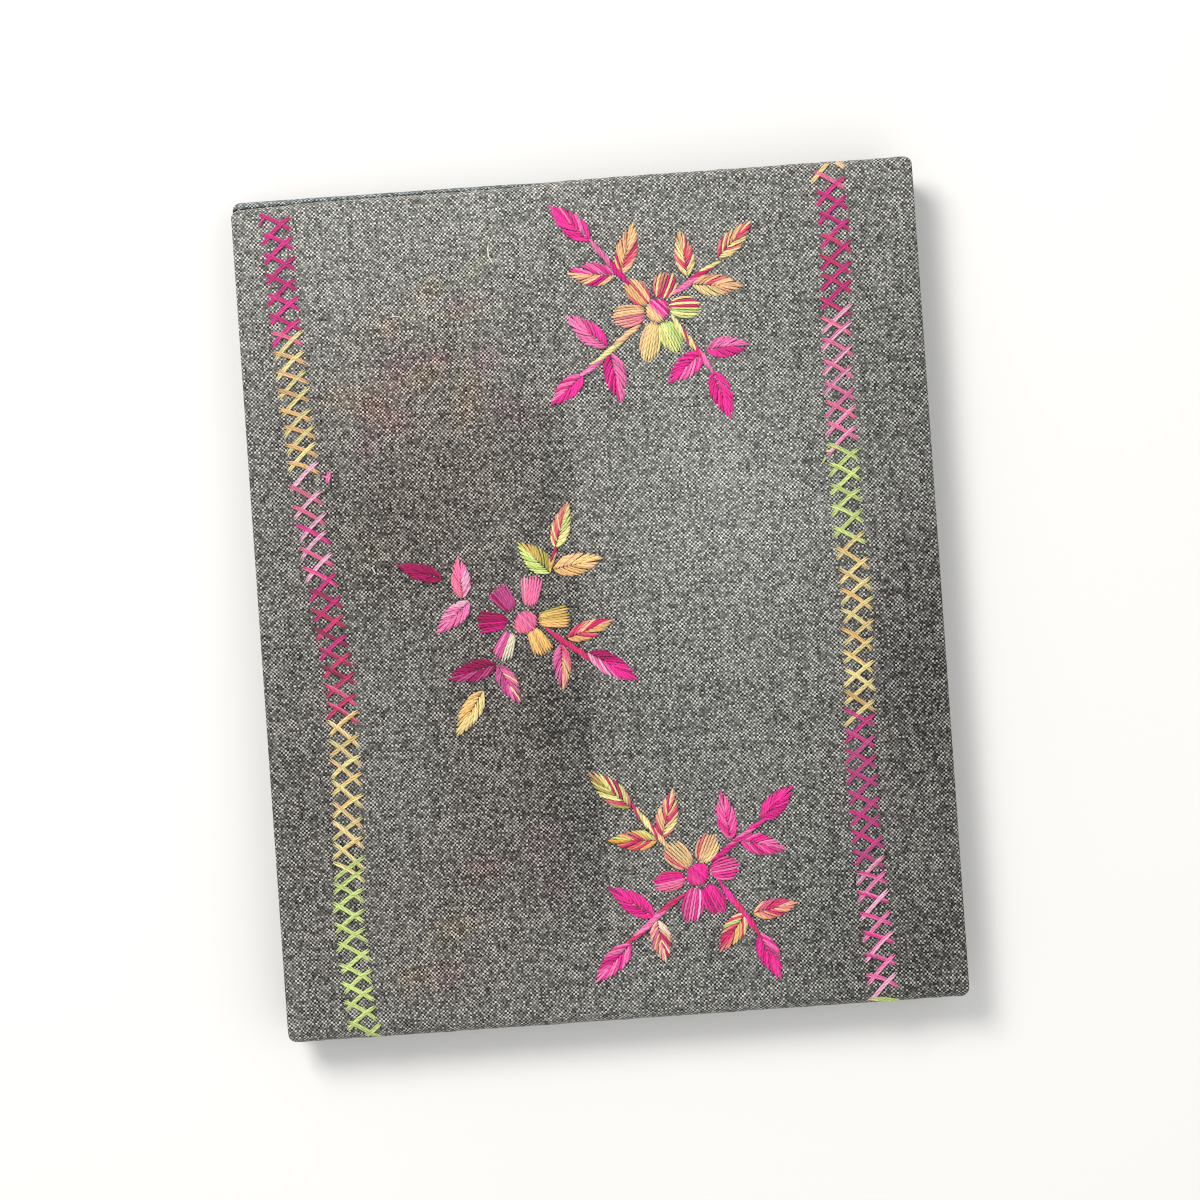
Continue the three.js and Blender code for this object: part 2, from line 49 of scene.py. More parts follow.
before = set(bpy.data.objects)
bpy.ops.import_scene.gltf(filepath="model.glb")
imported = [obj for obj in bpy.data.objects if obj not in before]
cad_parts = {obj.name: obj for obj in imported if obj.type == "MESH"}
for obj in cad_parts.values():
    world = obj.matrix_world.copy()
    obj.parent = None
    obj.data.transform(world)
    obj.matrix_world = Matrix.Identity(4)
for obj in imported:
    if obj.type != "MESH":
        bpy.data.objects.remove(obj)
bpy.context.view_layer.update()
MM = 0.001
ROOT = "root"

FACE_LOW, FACE_HIGH = (Vector(corner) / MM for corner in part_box("face_panel"))
BASE_LOW, BASE_HIGH = (Vector(corner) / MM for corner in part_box("base_panel"))
SECOND_LOW, SECOND_HIGH = (Vector(corner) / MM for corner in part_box("second_fold"))
INNER_LOW, INNER_HIGH = (Vector(corner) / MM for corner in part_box("inner_layers"))

HALF_WIDTH = FACE_HIGH.x
HALF_LENGTH = -FACE_LOW.y
LAYER = 1.0                      # thickness of one layer of cloth
BUNDLE = 3 * LAYER               # the shawl folded in three across
HEIGHT = 7 * BUNDLE              # and in seven along
CLOTH_WALL = 0.8                 # thickness of the cloth itself, under its nap
SLOT_GAP = 0.3                   # room over and under a sheet's arm between the hidden layers

# ---------------------------------------------------------------- charts

# Where the folds at the head end, from the left edge to the right one.
HEAD_EDGES = {
    "x": (-HALF_WIDTH, -88.0, -22.0, 0.0, HALF_WIDTH),
    "face": tuple(HALF_LENGTH + out for out in (-2.4, -1.4, -1.2, 0.1, 0.2)),
    "second": tuple(HALF_LENGTH + out for out in (1.1, 1.1, 1.0, 0.6, -1.6)),
}
CORNER = 2.4                     # radius of a sheet's corners, seen from above
CORNER_REACH = 9                 # and how far in from the side they still pull it
CREASE_START = 12                # how far from a fold the creases reach their full height
FOLD_ROUND = 1.1                 # how far a folded edge of the hidden layers curves back
EDGE_ROUND = 0.5                 # the same of a single layer's edge, and how far that is set in
NESTED_ROUND = 0.55              # the same of each layer where three turn over together

# Soft ridges and troughs of the face: a line from (x, y) to (to_x, to_y), its spread and height.
CREASE_COLUMNS = ("x", "y", "to_x", "to_y", "spread", "height")
CREASES = (
    (-6, 72, -4, -66, 13, 0.30),
    (-52, -6, -38, -92, 16, -0.32),
    (108, -20, 102, -104, 13, -0.34),
    (-70, 92, -22, 40, 18, -0.22),
    (22, 22, 78, 16, 18, 0.28),
    (-112, -124, -100, -134, 6, 0.25),
)

# How far the edges of each hidden bundle lie inside the packet's outline, from the lowest up.
BUNDLE_COLUMNS = ("left", "right", "head", "foot")
BUNDLES = (
    (1.5, 2.2, 3.4, 5.2),
    (2.4, 1.6, 2.0, 5.0),
    (1.7, 1.9, 1.9, 2.2),
    (2.1, 1.5, 4.6, 2.0),
    (1.6, 2.3, 4.8, 6.4),
    (2.3, 1.8, 5.6, 6.0),
    (1.6, 1.6, 5.8, 6.2),
)

# Wool colours, as they look on the skein.
WOOLS = {
    "magenta": "DA2484", "hot_pink": "F8369C", "pink": "FA80B6", "pale_pink": "FCBED6",
    "coral": "F87A9E", "crimson": "DE3870", "maroon": "A41C58", "purple": "CA5290",
    "gold": "F6C478", "ochre": "E2A64E", "straw": "FEE09A", "yellow": "FAEAA0",
    "cream": "FAEED0", "peach": "FCCA96", "lime": "D8EA8C", "olive": "B6AE54",
    "white": "FCF8F0",
}
STRAND = 0.34                    # a strand's distance from the middle of its stitch in the bands
STRAND_GIRTH = 0.8               # a strand's girth beside that of a whole thread
STITCH_INSET = 0.3               # how far inside a leaf's or petal's width its outer stitches end
DULL_GREY = 0.2                  # the grey of the cloth's fluff, which dulls the threads of the bands

# The sprays. Petals, stems and leaves start at (x, y) from the flower's middle, at an angle and with
# a length. Angles are in degrees, anticlockwise from +X. A petal's outer edge is rounded by so much.
# A petal or leaf has the wools of its left and right halves, seen along it.
PETAL_COLUMNS = ("x", "y", "angle", "length", "width", "left", "right")
STEM_COLUMNS = ("x", "y", "angle", "length", "wools")
LEAF_COLUMNS = ("x", "y", "angle", "length", "width", "left", "right")
SPRAYS = {
    "spray_top": {
        "replaces": ("spray_top",),
        "middle": (26.5, 97.3),
        "disc": ("magenta pink", "peach"),
        "petal_rounding": 2.6,
        "petals": (
            (-3.4, 2.6, 127, 10.4, 6.9, "peach gold crimson", "peach crimson"),
            (1.5, 4.3, 69, 9.2, 7.9, "yellow yellow crimson", "yellow crimson crimson"),
            (4.5, 0.7, -4, 10.5, 7.5, "crimson yellow crimson", "yellow lime yellow"),
            (1.9, -4.5, -68, 11.1, 6.9, "lime", "lime yellow"),
            (-1.6, -4.3, -104, 13.2, 6.9, "straw", "straw peach"),
            (-4.8, -0.7, -174, 11.0, 7.4, "peach coral yellow", "peach crimson peach peach"),
        ),
        "stems": (
            (-8.6, 9.0, 128.8, 21.5, "magenta pink pink"),
            (4.9, 4.4, 33.6, 20.9, "pink crimson yellow"),
            (-6.4, -4.1, -141.5, 27.5, "peach yellow pink"),
            (4.0, -2.0, -55.6, 25.3, "yellow crimson pink"),
        ),
        "leaves": (
            (-21.3, 25.3, 136, 18.8, 8.2, "hot_pink", "pink hot_pink"),
            (-13.7, 12.9, 174, 16.4, 8.8, "peach magenta peach", "pink hot_pink"),
            (-11.7, 13.0, 72, 18.6, 7.9, "peach gold crimson", "peach crimson"),
            (21.7, 16.4, 44, 17.2, 7.4, "yellow crimson peach", "yellow yellow crimson"),
            (11.1, 10.8, 96, 16.3, 7.2, "crimson yellow yellow", "crimson yellow"),
            (12.3, 8.0, -6, 17.7, 8.2, "peach crimson peach", "peach coral peach yellow"),
            (-26.9, -20.3, -141, 15.3, 7.2, "hot_pink", "pink hot_pink"),
            (-18.0, -11.4, 138, 18.0, 8.2, "pink", "hot_pink pink"),
            (-17.2, -13.1, -81, 18.2, 8.2, "pink", "hot_pink magenta"),
            (17.4, -22.1, -73, 17.5, 8.2, "hot_pink", "magenta hot_pink"),
            (15.6, -14.5, 3, 15.2, 7.9, "pink", "hot_pink"),
            (14.5, -15.3, -143, 16.0, 8.2, "pink hot_pink", "hot_pink"),
        ),
    },
    "spray_middle": {
        "replaces": (
            "spray_middle_flower", "spray_middle_upper_right", "spray_middle_upper_left",
            "spray_middle_upper_left_tip", "spray_middle_lower_left", "spray_middle_lower_left_tip",
        ),
        "middle": (-25.9, -5.9),
        "disc": ("coral pink", "coral"),
        "petal_rounding": 0.9,
        "petals": (
            (-4.4, 5.0, 124, 9.4, 7.2, "maroon purple", "maroon purple"),
            (1.9, 6.0, 82, 9.6, 7.4, "pink coral pale_pink", "coral pink"),
            (4.9, 0.6, 4, 10.4, 7.4, "olive gold", "gold ochre"),
            (2.3, -2.8, -66, 9.2, 6.8, "ochre gold", "gold ochre"),
            (-5.4, -3.2, -114, 9.6, 6.8, "cream", "purple pink"),
            (-6.5, 0.9, 179, 10.2, 7.3, "maroon magenta", "maroon"),
        ),
        "stems": (
            (6.4, -2.8, -36.6, 19.6, "crimson"),
            (10.6, 17.4, 82, 8.2, "gold crimson peach"),
        ),
        "leaves": (
            (13.8, -6.4, 18, 17.0, 6.8, "crimson peach crimson", "gold gold crimson"),
            (11.6, -8.1, -91, 16.0, 6.8, "crimson peach coral", "purple pink"),
            (20.6, -11.6, -33, 19.9, 7.9, "magenta maroon hot_pink", "pale_pink hot_pink"),
            (9.8, 16.2, 133, 15.5, 8.5, "olive lime", "gold olive"),
            (10.7, 17.4, 9, 17.6, 8.2, "peach gold straw", "peach gold"),
            (11.9, 24.6, 71, 16.6, 7.0, "crimson yellow crimson yellow", "lime yellow"),
            (-20.7, 9.6, 93, 14.6, 7.1, "coral", "pink pale_pink"),
            (-18.5, 8.5, -141, 15.9, 7.4, "pink", "pink pale_pink"),
            (-27.3, 16.8, 159, 16.3, 6.4, "maroon", "maroon"),
            (-10.9, -13.5, -167, 17.6, 7.9, "maroon purple", "maroon"),
            (-10.3, -13.9, -65, 15.2, 7.1, "peach purple pink", "purple pink"),
            (-16.0, -22.1, -124, 18.4, 7.4, "straw yellow", "straw gold"),
        ),
    },
    "spray_bottom": {
        "replaces": ("spray_bottom",),
        "middle": (26.8, -95.7),
        "disc": ("hot_pink", "pink magenta"),
        "petal_rounding": 2.6,
        "petals": (
            (-2.7, 3.0, 134, 10.6, 7.9, "peach crimson peach", "peach yellow"),
            (1.6, 4.4, 64, 9.9, 7.6, "peach crimson coral", "peach yellow coral"),
            (4.8, 0.7, 8, 9.8, 7.9, "pink hot_pink", "hot_pink pink"),
            (2.7, -4.4, -65, 10.4, 7.3, "hot_pink", "hot_pink magenta"),
            (-1.1, -4.9, -103, 11.7, 7.3, "pink pale_pink hot_pink", "hot_pink pink"),
            (-4.8, -1.0, -172, 10.4, 6.8, "coral pink", "hot_pink crimson"),
        ),
        "stems": (
            (-8.6, 8.9, 128, 20.7, "peach crimson yellow crimson"),
            (4.6, 3.5, 36.2, 23.9, "magenta pink hot_pink"),
            (-5.3, -5.6, -140.3, 26.4, "crimson pink crimson"),
            (6.0, -1.9, -54.8, 24.4, "hot_pink crimson"),
        ),
        "leaves": (
            (-21.2, 24.2, 136, 19.2, 8.2, "olive yellow crimson", "yellow lime crimson"),
            (-13.0, 12.5, 176, 16.8, 7.6, "ochre crimson gold", "lime gold crimson gold"),
            (-11.4, 13.0, 73, 17.4, 7.9, "peach crimson yellow", "peach crimson yellow"),
            (22.8, 17.0, 43, 16.1, 7.6, "hot_pink", "hot_pink magenta"),
            (12.1, 11.0, 98, 17.2, 7.3, "hot_pink pink", "pink hot_pink"),
            (15.2, 10.6, -15, 16.3, 7.9, "hot_pink pink", "pink hot_pink"),
            (-24.4, -21.9, -136, 18.2, 7.9, "hot_pink pink", "hot_pink magenta pink"),
            (-15.9, -13.4, 143, 18.8, 7.9, "hot_pink magenta", "hot_pink"),
            (-15.0, -14.6, -82, 15.0, 7.6, "peach crimson cream", "pink crimson peach"),
            (19.5, -21.4, -69, 17.6, 7.9, "hot_pink pink", "hot_pink magenta"),
            (17.9, -14.5, 9, 15.9, 7.3, "peach crimson coral", "coral gold crimson"),
            (15.5, -14.2, -128, 16.4, 7.9, "yellow crimson gold", "lime crimson peach crimson"),
        ),
    },
}

# The herringbone bands.
BAND_WIDTH = 10.5
BAND_PITCH = 6.9                 # from one row of stitches to the next, past the rows that are charted
TURN_BACK = 4.3                  # how far up the rising stitch starts from the end of the falling one
WOOL_LEAD = 3.5                  # how far above a zone its rising stitches already have its wool
# line is a band's middle line as (y, x). rows gives y for some rows of stitches, counted from the
# head. Each zone begins at a y and has the run of its falling and rising stitches, how far they go
# along the cloth, and their wools.
ZONE_COLUMNS = ("y", "fall", "rise", "fall_wools", "rise_wools")
BANDS = {
    "band_left": {
        "line": ((-150, -90), (-103, -93.1), (-55, -90.3), (-21, -90.4), (31, -96.5), (95, -100.4),
                 (150, -102)),
        "rows": ((0, 139.6), (7, 91.6), (13, 53.9), (20, 3.5), (27, -41.0), (34, -90.3), (41, -137.7)),
        "zones": (
            (200, 6.2, 9.0, "magenta", "hot_pink magenta"),
            (101, 4.8, 9.4, "coral", "yellow gold"),
            (97, 4.6, 9.4, "gold peach", "yellow"),
            (52, 7.2, 9.3, "coral hot_pink", "pale_pink"),
            (16, 7.1, 8.1, "crimson maroon", "magenta crimson"),
            (-18, 8.0, 8.0, "crimson coral", "crimson"),
            (-30, 10.0, 7.2, "peach yellow", "gold yellow"),
            (-79, 7.4, 7.6, "yellow lime", "lime"),
            (-86, 7.2, 7.6, "lime", "lime"),
        ),
    },
    "band_right": {
        "line": ((-150, 87.8), (-116, 86.2), (-68, 84.8), (-6, 87.5), (28, 86.1), (83, 86.7),
                 (114, 88.6), (150, 88.4)),
        "rows": ((0, 141.2), (10, 69.2), (20, -2.0), (30, -70.5), (39, -133.7), (40, -142.0)),
        "zones": (
            (200, 6.6, 9.4, "peach", "peach straw"),
            (144, 6.8, 9.6, "coral", "pink"),
            (139, 6.9, 9.6, "magenta", "hot_pink magenta"),
            (120, 6.9, 9.6, "magenta crimson", "magenta"),
            (96, 6.8, 9.6, "coral pink", "pink pale_pink"),
            (50, 6.4, 9.0, "lime", "lime"),
            (17.5, 8.0, 8.4, "gold yellow", "yellow straw"),
            (-41, 6.6, 9.6, "purple magenta", "magenta purple"),
            (-93.5, 4.6, 10.0, "pink hot_pink", "pale_pink pink"),
            (-139, 2.6, 9.0, "lime", "pale_pink"),
        ),
    },
}
# Thread ends that stick out where a new length of wool begins, and what shows of the stitches that
# run over a fold: where they start, length, angle, wool and strands.
END_COLUMNS = ("band", "x", "y", "length", "angle", "wools", "strands")
THREAD_ENDS = (
    ("band_left", -90.1, 46.1, 4.2, 76, "pink", 2),
    ("band_left", -91.8, 48.8, 2.4, -17, "pink", 1),
    ("band_left", -107.3, 135.2, 4.3, 53, "hot_pink", 1),
    ("band_left", -84.9, -139.0, 6.6, -143, "lime", 2),
    ("band_right", 79.0, 41.2, 2.6, 60, "lime", 1),
    ("band_right", 80.4, 45.2, 3.0, 5, "yellow", 1),
    ("band_right", 82.0, 137.0, 9.3, 47, "peach straw", 2),
    ("band_right", 90.6, 143.5, 3.7, -38, "peach", 2),
)

WARM = (0.06, -0.025, -0.045)    # what a warmth of 1 adds to the gain of red, green and blue
# Soft patches of lighter or darker cloth: painted light and shade of the broad lighting, lighter towards the
# top, together with the cloth's tone where more or fewer layers lie under the face: middle, reach across and
# along, gain, and warmth.
PATCH_COLUMNS = ("x", "y", "reach_x", "reach_y", "gain", "warmth")
LIGHT_AND_LAYER_PATCHES = (
    (-20, 150, 150, 44, 0.34, 0.0),
    (-40, 134, 30, 16, 0.05, 0.0),
    (-95, 115, 50, 45, 0.14, 0.0),
    (-58, 84, 34, 30, 0.02, 0.5),
    (-48, 50, 42, 40, -0.12, 0.9),
    (-72, 24, 26, 26, -0.26, 0.6),
    (-34, -42, 30, 56, -0.30, 0.9),
    (-60, -112, 40, 40, -0.12, 0.6),
    (44, 34, 46, 50, 0.44, -0.2),
    (24, -46, 30, 26, 0.00, -0.1),
    (110, -36, 25, 60, -0.50, 0.5),
    (112, -132, 30, 36, -0.28, 0.2),
    (76, -122, 34, 30, -0.24, 0.0),
    (-106, -60, 26, 80, -0.20, 0.5),
    (108, 70, 24, 44, -0.12, 0.0),
)
# The long edge of a layer below, which leaves the cloth darker on its left as far as its reach.
LAYER_EDGE = {"x": -8.5, "to_x": -4.0, "top": 66, "bottom": -112, "gain": -0.28, "blur": 2.6,
              "reach": 20, "end_blur": 9}

# Worked flowers on the layer below, which show faintly through the face as soft spots. A tint is
# what a wool adds to the gain of red, green and blue.
SHOW_THROUGH_COLUMNS = ("x", "y", "angle", "length", "width", "wool")
SHOW_THROUGH = (
    (-30.4, 120.4, 70, 11, 5, "cream"),
    (-36.4, 113.6, 60, 9, 5, "cream"),
    (-50.6, 109.7, 60, 9, 7, "gold"),
    (-39.5, 103.4, 5, 13, 6, "coral"),
    (-47.0, 100.3, 0, 40, 3, "cream"),
    (-65.6, 97.3, 90, 8, 7, "rust"),
    (-60.2, 86.5, 0, 15, 6, "magenta"),
    (-49.3, 86.3, 0, 9, 6, "coral"),
    (-33.6, 84.0, 40, 11, 8, "magenta"),
    (-54.6, 80.6, 20, 12, 8, "gold"),
    (-64.4, 80.1, 60, 10, 8, "coral"),
    (-39.9, 72.3, 78, 19, 8, "gold"),
    (-81.9, 75.2, 0, 15, 7, "gold"),
    (-73.6, 71.0, 30, 11, 10, "rust"),
    (-66.0, 66.8, -40, 12, 10, "coral"),
    (-25.2, 66.3, -30, 17, 9, "magenta"),
    (-75.7, 57.7, 80, 12, 8, "magenta"),
    (-76.8, 20.9, 85, 14, 6, "cream"),
    (-26.0, -81.4, 60, 15, 11, "magenta"),
    (-46.8, -88.7, 0, 14, 9, "coral"),
    (-21.4, -96.0, 70, 12, 9, "magenta"),
    (-56.9, -108.2, 20, 14, 9, "gold"),
    (-61.0, -124.0, 0, 12, 9, "coral"),
    (-72.7, -124.5, 30, 12, 8, "gold"),
)
SHOW_THROUGH_TINTS = {
    "cream": (0.10, 0.12, 0.02), "gold": (0.10, 0.0, -0.14), "coral": (0.10, -0.10, -0.07),
    "rust": (0.03, -0.15, -0.20), "magenta": (0.0, -0.14, -0.04),
}

# Loose hairs that lie on the cloth: start, bend and end, and their colour.
HAIRS = (
    ((-29.6, 123.8), (-29.8, 120.0), (-28.2, 116.6), "white"),
    ((-64.4, 101.2), (-63.0, 101.5), (-61.4, 101.0), "white"),
    ((-76.6, 16.8), (-76.4, 15.4), (-75.6, 14.2), "white"),
    ((-103.4, -88.3), (-103.1, -88.0), (-102.7, -88.1), "white"),
)

# ---------------------------------------------------------------- settings


def charted(columns, rows):
    """The rows of a chart, each under the names of its columns."""
    return [dict(zip(columns, row)) for row in rows]


def linear(hex_colour):
    """A colour as written on a swatch, in the renderer's linear light."""
    parts = (int(hex_colour[i:i + 2], 16) / 255 for i in (0, 2, 4))
    return tuple(p / 12.92 if p <= 0.04045 else ((p + 0.055) / 1.055) ** 2.4 for p in parts)


def colour_property(name, description, hex_colour):
    return FloatVectorProperty(name=name, description=description, subtype="COLOR", size=3, min=0,
                               max=1, default=linear(hex_colour))


def length_property(name, description, millimetres):
    return FloatProperty(name=name, description=description, unit="LENGTH", precision=5, min=0,
                         default=millimetres * MM)


class ShawlClothSettings(bpy.types.PropertyGroup):
    """Sizes and colours of the woven cloth."""

    pitch: length_property("Thread Pitch", "Distance between two threads of the weave", 0.66)
    waver: length_property("Waver", "How far a thread strays from its line", 1.2)
    pucker: length_property("Pucker", "Height of the small unevenness of the cloth", 0.10)
    dark_yarn: colour_property("Dark Yarn", "Colour of the dark wool in the yarn", "100F0E")
    light_yarn: colour_property("Light Yarn", "Colour of the light wool in the yarn", "E2E1D7")


class ShawlThreadSettings(bpy.types.PropertyGroup):
    """Sizes of the embroidery thread."""

    radius: length_property("Thread Radius", "Radius of the wool embroidery thread", 0.50)
    rise: length_property("Rise", "How high a stitch stands over the cloth", 0.62)
    twist: length_property("Twist", "Length of one turn of the thread's plies", 2.4)
    sides: IntProperty(name="Sides", description="Sides of the thread's tube", min=3, default=8)
    points: IntProperty(name="Points", description="Points along a stitch", min=4, default=9)
    seed: IntProperty(name="Seed", description="Seed of the hand's unevenness", default=7)


class ShawlStageSettings(bpy.types.PropertyGroup):
    """The camera and the lights."""

    turn: FloatProperty(name="Turn", description="How far the shawl is turned anticlockwise",
                        subtype="ANGLE", default=math.radians(4.0))
    view_width: length_property("View Width", "Width of what the camera sees at the face", 409.6)
    lens: FloatProperty(name="Lens", description="Focal length in millimetres", default=85)
    floor: colour_property("Floor", "Colour of the floor", "E9E7E3")


# ---------------------------------------------------------------- cloth shape


def crease_relief(x, y):
    """How far the face rises or sinks at places in millimetres, from its creases."""
    total = np.zeros(np.broadcast(x, y).shape)
    for crease in charted(CREASE_COLUMNS, CREASES):
        run_x, run_y = crease["to_x"] - crease["x"], crease["to_y"] - crease["y"]
        share = ((x - crease["x"]) * run_x + (y - crease["y"]) * run_y) / (run_x**2 + run_y**2)
        share = np.clip(share, 0, 1)
        away = np.hypot(x - crease["x"] - share * run_x, y - crease["y"] - share * run_y)
        total = total + crease["height"] * np.exp(-((away / crease["spread"]) ** 2))
    return total


def unevenness(x, y):
    """Small waves of handwoven cloth, about -1 to 1, the same each time."""
    waves = ((0.31, 0.11, 0.3), (-0.13, 0.37, 1.9), (0.52, -0.29, 4.1), (0.21, 0.61, 2.6),
             (-0.83, 0.47, 0.9), (0.71, 0.93, 5.2))
    return sum(np.sin(a * x + b * y + c) for a, b, c in waves) / 3.2


class Fold:
    """A fold at the end of a sheet: where it ends, its outer radius and the arm past it."""

    def __init__(self, edge, radius=0.0, arm=0.0):
        self.edge, self.radius, self.arm = edge, radius, arm


class Sheet:
    """Cloth that lies flat at a level, facing up or down, and turns over at its folds."""

    def __init__(self, level, facing, head, foot, relief):
        self.level, self.facing, self.head, self.foot, self.relief = level, facing, head, foot, relief

    def at(self, x, along):
        """Places and outward normals of the outer surface. along is y, and goes on round a fold."""
        x, along = np.broadcast_arrays(np.asarray(x, float), np.asarray(along, float))
        place = np.stack([x, along, np.full(x.shape, self.level)], axis=-1)
        normal = np.stack([np.zeros(x.shape), np.zeros(x.shape), np.full(x.shape, self.facing)], axis=-1)
        nearest = np.full(x.shape, np.inf)
        for fold, end in ((self.head, 1), (self.foot, -1)):
            bend = fold.edge(x) - end * fold.radius
            past = end * (along - bend)
            nearest = np.minimum(nearest, -past)
            if not fold.radius:
                continue
            turn = np.clip(past / fold.radius, 0, math.pi)
            arm = np.maximum(past - math.pi * fold.radius, 0)
            bent = past > 0
            y = bend + end * (fold.radius * np.sin(turn) - arm)
            place[..., 1] = np.where(bent, y, place[..., 1])
            place[..., 2] -= np.where(bent, self.facing * fold.radius * (1 - np.cos(turn)), 0)
            normal[..., 1] = np.where(bent, end * np.sin(turn), normal[..., 1])
            normal[..., 2] = np.where(bent, self.facing * np.cos(turn), normal[..., 2])
        # The sheet's corners are rounded, as seen from above.
        for fold, end in ((self.head, 1), (self.foot, -1)):
            within = np.clip(1 - end * (fold.edge(x) - place[..., 1]) / CORNER, 0, 1)
            inset = CORNER * (1 - np.sqrt(1 - within**2))
            at_side = np.clip((np.abs(x) - HALF_WIDTH + CORNER_REACH) / CORNER_REACH, 0, 1)
            place[..., 0] -= np.sign(x) * inset * at_side**2
        height = self.relief(x, along, np.clip(nearest / CREASE_START, 0, 1))
        return place + normal * height[..., None], normal

    def cut_size(self):
        """The width and the length of this stretch of cloth when it is flat, in metres."""
        width = 2 * (HALF_WIDTH - LAYER) + 2 * math.pi * LAYER
        coarse = 10
        ends = self.rows(np.zeros(1), coarse, coarse)
        return width * MM, float(ends[-1][0] - ends[0][0]) * MM

    def rows(self, x, step, fold_step):
        """How far along the cloth each row of points lies, for each place across it."""
        head, foot = self.head, self.foot
        bends = {}
        for fold, end in ((foot, -1), (head, 1)):
            start = fold.edge(x) - end * fold.radius
            count = max(1, round(math.pi * fold.radius / fold_step))
            if fold.radius:
                arc = [start + end * math.pi * fold.radius * i / count for i in range(count + 1)]
                arms = max(1, round(fold.arm / step))
                arc += [arc[-1] + end * fold.arm * (i + 1) / arms for i in range(arms)]
            else:
                arc = [start]
            bends[end] = arc
        flat_count = round(float(np.max(bends[1][0] - bends[-1][0])) / step)
        flat = [bends[-1][0] + (bends[1][0] - bends[-1][0]) * i / flat_count
                for i in range(1, flat_count)]
        return np.stack([*bends[-1][::-1], *flat, *bends[1]])


def face_relief(x, along, away_from_fold):
    """The height of the face: its creases, which die out at its folds, and its unevenness."""
    pucker = bpy.context.scene.shawl_cloth.pucker / MM
    return crease_relief(x, along) * away_from_fold + pucker * unevenness(x, along)


def slight_relief(x, along, away_from_fold):
    """Half the face's unevenness, and in other places."""
    return 0.5 * bpy.context.scene.shawl_cloth.pucker / MM * unevenness(x + 31, along + 17)


def no_relief(x, along, away_from_fold):
    return np.zeros(x.shape)


def edge_line(column):
    return lambda x: np.interp(x, HEAD_EDGES["x"], HEAD_EDGES[column])


def straight_edge(y):
    return lambda x: np.full(np.shape(x), float(y))


FACE = Sheet(
    level=HEIGHT, facing=1, relief=face_relief,
    head=Fold(edge_line("face"), radius=BUNDLE, arm=8),
    foot=Fold(straight_edge(-HALF_LENGTH), radius=1.5 * BUNDLE, arm=10))
SECOND = Sheet(
    level=SECOND_HIGH.z, facing=1, relief=slight_relief,
    head=Fold(edge_line("second"), radius=BUNDLE, arm=18), foot=Fold(straight_edge(SECOND_LOW.y)))
BASE = Sheet(
    level=0.0, facing=-1, relief=no_relief,
    head=Fold(straight_edge(BASE_HIGH.y)), foot=Fold(straight_edge(BASE_LOW.y), radius=BUNDLE, arm=10))

# ---------------------------------------------------------------- cloth colour


def plain_shade(x, y):
    """The gain of each colour channel on cloth that lies out of sight."""
    return np.repeat((0.9 + 0.05 * unevenness(0.35 * x, 0.35 * y))[..., None], 3, axis=-1)


def face_shade(x, y):
    """The gain of each colour channel at places on the face, with its painted light and shade."""
    gain, warmth = np.zeros(x.shape), np.zeros(x.shape)
    # Painted light and shade of the broad lighting, mixed with the tone of the layers underneath.
    for patch in charted(PATCH_COLUMNS, LIGHT_AND_LAYER_PATCHES):
        reach = ((x - patch["x"]) / patch["reach_x"]) ** 2 + ((y - patch["y"]) / patch["reach_y"]) ** 2
        weight = np.exp(-reach)
        gain += patch["gain"] * weight
        warmth += patch["warmth"] * weight
    share = np.clip((LAYER_EDGE["top"] - y) / (LAYER_EDGE["top"] - LAYER_EDGE["bottom"]), 0, 1)
    edge_x = LAYER_EDGE["x"] + share * (LAYER_EDGE["to_x"] - LAYER_EDGE["x"])
    side = 0.5 - 0.5 * np.tanh((x - edge_x) / LAYER_EDGE["blur"])
    near = np.exp(-((np.minimum(x - edge_x, 0) / LAYER_EDGE["reach"]) ** 2))
    below_top = 1 + np.tanh((LAYER_EDGE["top"] - y) / LAYER_EDGE["end_blur"])
    above_bottom = 1 + np.tanh((y - LAYER_EDGE["bottom"]) / LAYER_EDGE["end_blur"])
    gain += LAYER_EDGE["gain"] * side * near * (0.25 * below_top * above_bottom)
    gain += 0.035 * unevenness(0.35 * x, 0.35 * y)
    shade = (1 + gain)[..., None] * (1 + warmth[..., None] * np.array(WARM))
    for spot in charted(SHOW_THROUGH_COLUMNS, SHOW_THROUGH):
        turn = math.radians(spot["angle"])
        run = (x - spot["x"]) * math.cos(turn) + (y - spot["y"]) * math.sin(turn)
        aside = -(x - spot["x"]) * math.sin(turn) + (y - spot["y"]) * math.cos(turn)
        reach = (2 * run / spot["length"]) ** 2 + (2 * aside / spot["width"]) ** 2
        tint = np.array(SHOW_THROUGH_TINTS[spot["wool"]])
        shade = shade * (1 + np.exp(-0.9 * reach)[..., None] * tint)
    return shade


# ---------------------------------------------------------------- mesh helpers


def new_mesh_object(name, vertices, faces, edges=()):
    """A new object at the origin, from places in millimetres."""
    mesh = bpy.data.meshes.new(name)
    mesh.from_pydata((np.asarray(vertices) * MM).tolist(), list(edges), list(faces))
    mesh.validate()
    piece = bpy.data.objects.new(name, mesh)
    bpy.context.scene.collection.objects.link(piece)
    return piece


def grid_faces(rows, columns):
    """The faces of a grid of points, row by row."""
    first = (np.arange(rows - 1)[:, None] * columns + np.arange(columns - 1)[None, :]).ravel()
    return np.stack([first, first + 1, first + columns + 1, first + columns], axis=1)


def paint_points(mesh, name, colours, alpha=1.0):
    """Stores a colour for each point of the mesh."""
    attribute = mesh.attributes.new(name, "FLOAT_COLOR", "POINT")
    rgba = np.concatenate([colours, np.broadcast_to(alpha, (len(colours), 1))], axis=1)
    attribute.data.foreach_set("color", rgba.astype(np.float32).ravel())


